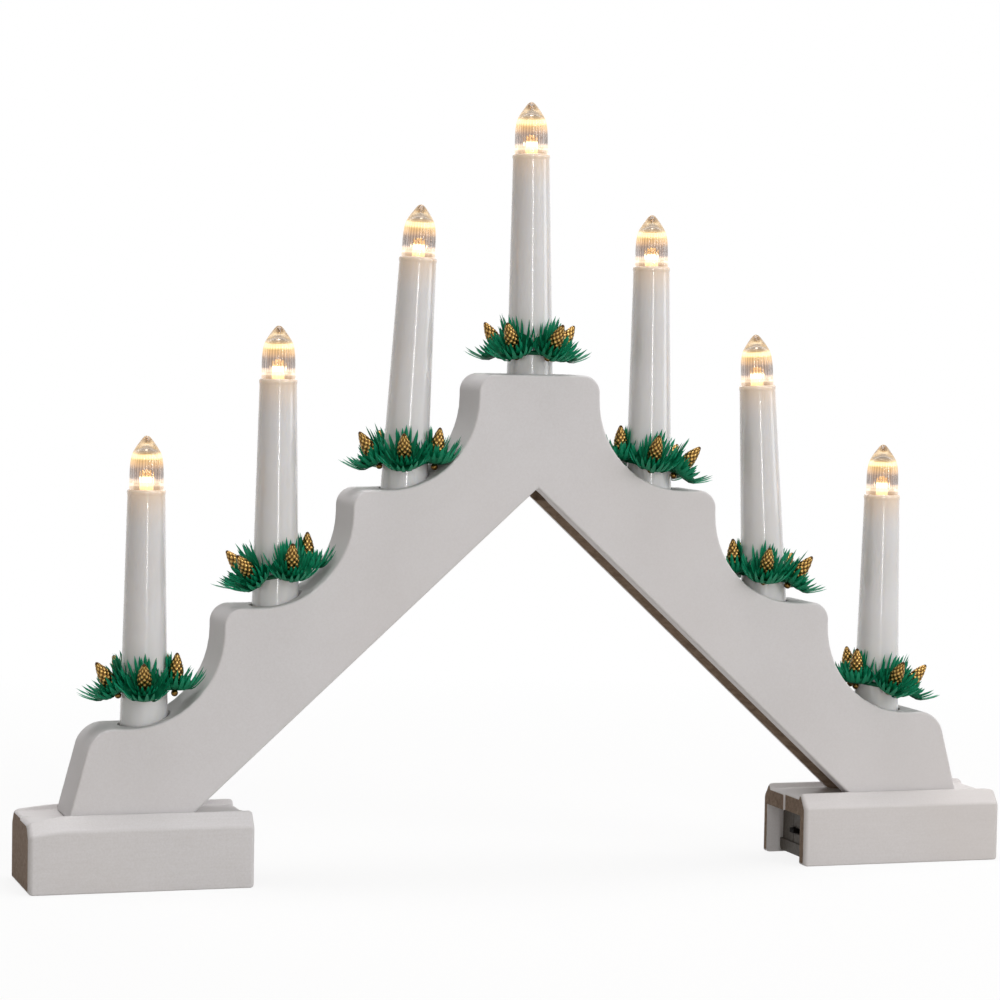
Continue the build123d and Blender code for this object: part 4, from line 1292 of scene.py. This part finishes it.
AMBIENT = 0.17
WHITE = (1.0, 1.0, 1.0)
FLOOR_R, FLOOR_NEAR, FLOOR_FAR = 12, 0.25, 0.7
LIGHTS = (
    # name, place, target, size, power, colour
    ("key", (1.3, -1.7, 1.1), (0, 0, 0.15), 1.1, 18.0, (0.98, 0.99, 1.0)),
    ("side", (1.9, -0.5, 0.5), (0, 0, 0.15), 0.7, 4.0, (0.95, 0.97, 1.0)),
    ("front", (-0.25, -2.4, 0.5), (0, 0, 0.15), 0.10, 10.0, WHITE),
    ("fill", (-1.0, -2.2, 0.4), (0.1, 0, 0.05), 0.5, 5.0, (1.0, 0.97, 0.92)),
    ("top", (0.1, 0.1, 1.7), (0, 0, 0.1), 1.0, 18.0, (1.0, 0.99, 0.99)),
    ("back", (0.7, 2.1, 1.1), (0, 0, 0.1), 1.0, 4.5, (1.0, 0.98, 0.96)),
)
FRONT_HEIGHT = 1.4
CAMERA_PLACE = Vector((-0.38586, -1.16978, 0.21343))
YAW, PITCH_UP, ROLL = -0.3098, -0.0540, 0.0180
FOCAL_SHARE = 3.11254
SENSOR = 36.0


def floor():
    """A pale floor that runs out to white for the camera and keeps the shadow near the object."""
    n = Nodes("floor")
    length = n.node("VectorMath", {0: n.node("TexCoord").outputs["Object"]}, operation="LENGTH")
    far = n.spread(length.outputs["Value"], FLOOR_NEAR, FLOOR_FAR, 0.87, 1.0)
    near = n.either(far, n.plain("BsdfDiffuse", (0.93, 0.93, 0.93)), n.plain("Emission", WHITE))
    bounce = n.plain("BsdfDiffuse", (0.50, 0.48, 0.45))
    n.put(n.out, {0: n.either(n.seen(), bounce, near)})
    bm = bmesh.new()
    bmesh.ops.create_circle(bm, cap_ends=True, segments=96, radius=FLOOR_R)
    mesh = bpy.data.meshes.new("floor")
    bm.to_mesh(mesh)
    bm.free()
    linked("floor", mesh, [n.owner])


def world():
    """White for the camera, and a soft warm light for the object."""
    n = Nodes("studio", world=True)
    soft = n.plain("Background", (1.0, 0.945, 0.88), Strength=AMBIENT)
    n.put(n.out, {0: n.either(n.seen(), soft, n.plain("Background", WHITE))})
    SCENE.world = n.owner


def area_light(name, place, target, size, power, colour):
    """A square lamp; the one in front is a tall strip, and the fill shows in no gloss."""
    data = bpy.data.lights.new(name, "AREA")
    data.energy = power
    data.color = colour
    data.size = size
    if name == "front":
        data.shape = "RECTANGLE"
        data.size_y = FRONT_HEIGHT
    obj = bpy.data.objects.new(name, data)
    obj.location = place
    obj.rotation_euler = (Vector(target) - Vector(place)).to_track_quat("-Z", "Y").to_euler()
    obj.visible_glossy = name != "fill"
    SCENE.collection.objects.link(obj)


def camera():
    data = bpy.data.cameras.new("camera")
    data.sensor_width = SENSOR
    data.lens = FOCAL_SHARE * SENSOR
    forward = Vector((-math.sin(YAW) * math.cos(PITCH_UP), math.cos(YAW) * math.cos(PITCH_UP),
                      math.sin(PITCH_UP)))
    right = Vector((math.cos(YAW), math.sin(YAW), 0))
    up = right.cross(forward)
    level = right * math.cos(ROLL) + up * math.sin(ROLL)
    upright = -right * math.sin(ROLL) + up * math.cos(ROLL)
    turn = Matrix((level, upright, -forward)).transposed()
    obj = bpy.data.objects.new("camera", data)
    obj.matrix_world = Matrix.Translation(CAMERA_PLACE) @ turn.to_4x4()
    SCENE.collection.objects.link(obj)
    SCENE.camera = obj


# The whole object and its stage

BOARD = arch_board().data
BOARD_TREE = BVHTree.FromPolygons([v.co for v in BOARD.vertices], [tuple(p.vertices) for p in BOARD.polygons])
for candle in range(CANDLES):
    candle_tube(candle)
    bulb(candle)
    lamp(candle)
    holder(candle)
for candle in range(CANDLES):
    pine_ring(candle)
    ring_cones(candle)
for foot_side in (-1, 1):
    for foot_depth_side in (-1, 1):
        foot_half(foot_side, foot_depth_side)
main_lead()
candle_leads()
foot_screws()
battery_case()
battery_lid()
cells()
switch()
contacts()

SCENE.view_settings.view_transform = "Standard"
floor()
world()
for light in LIGHTS:
    area_light(*light)
camera()
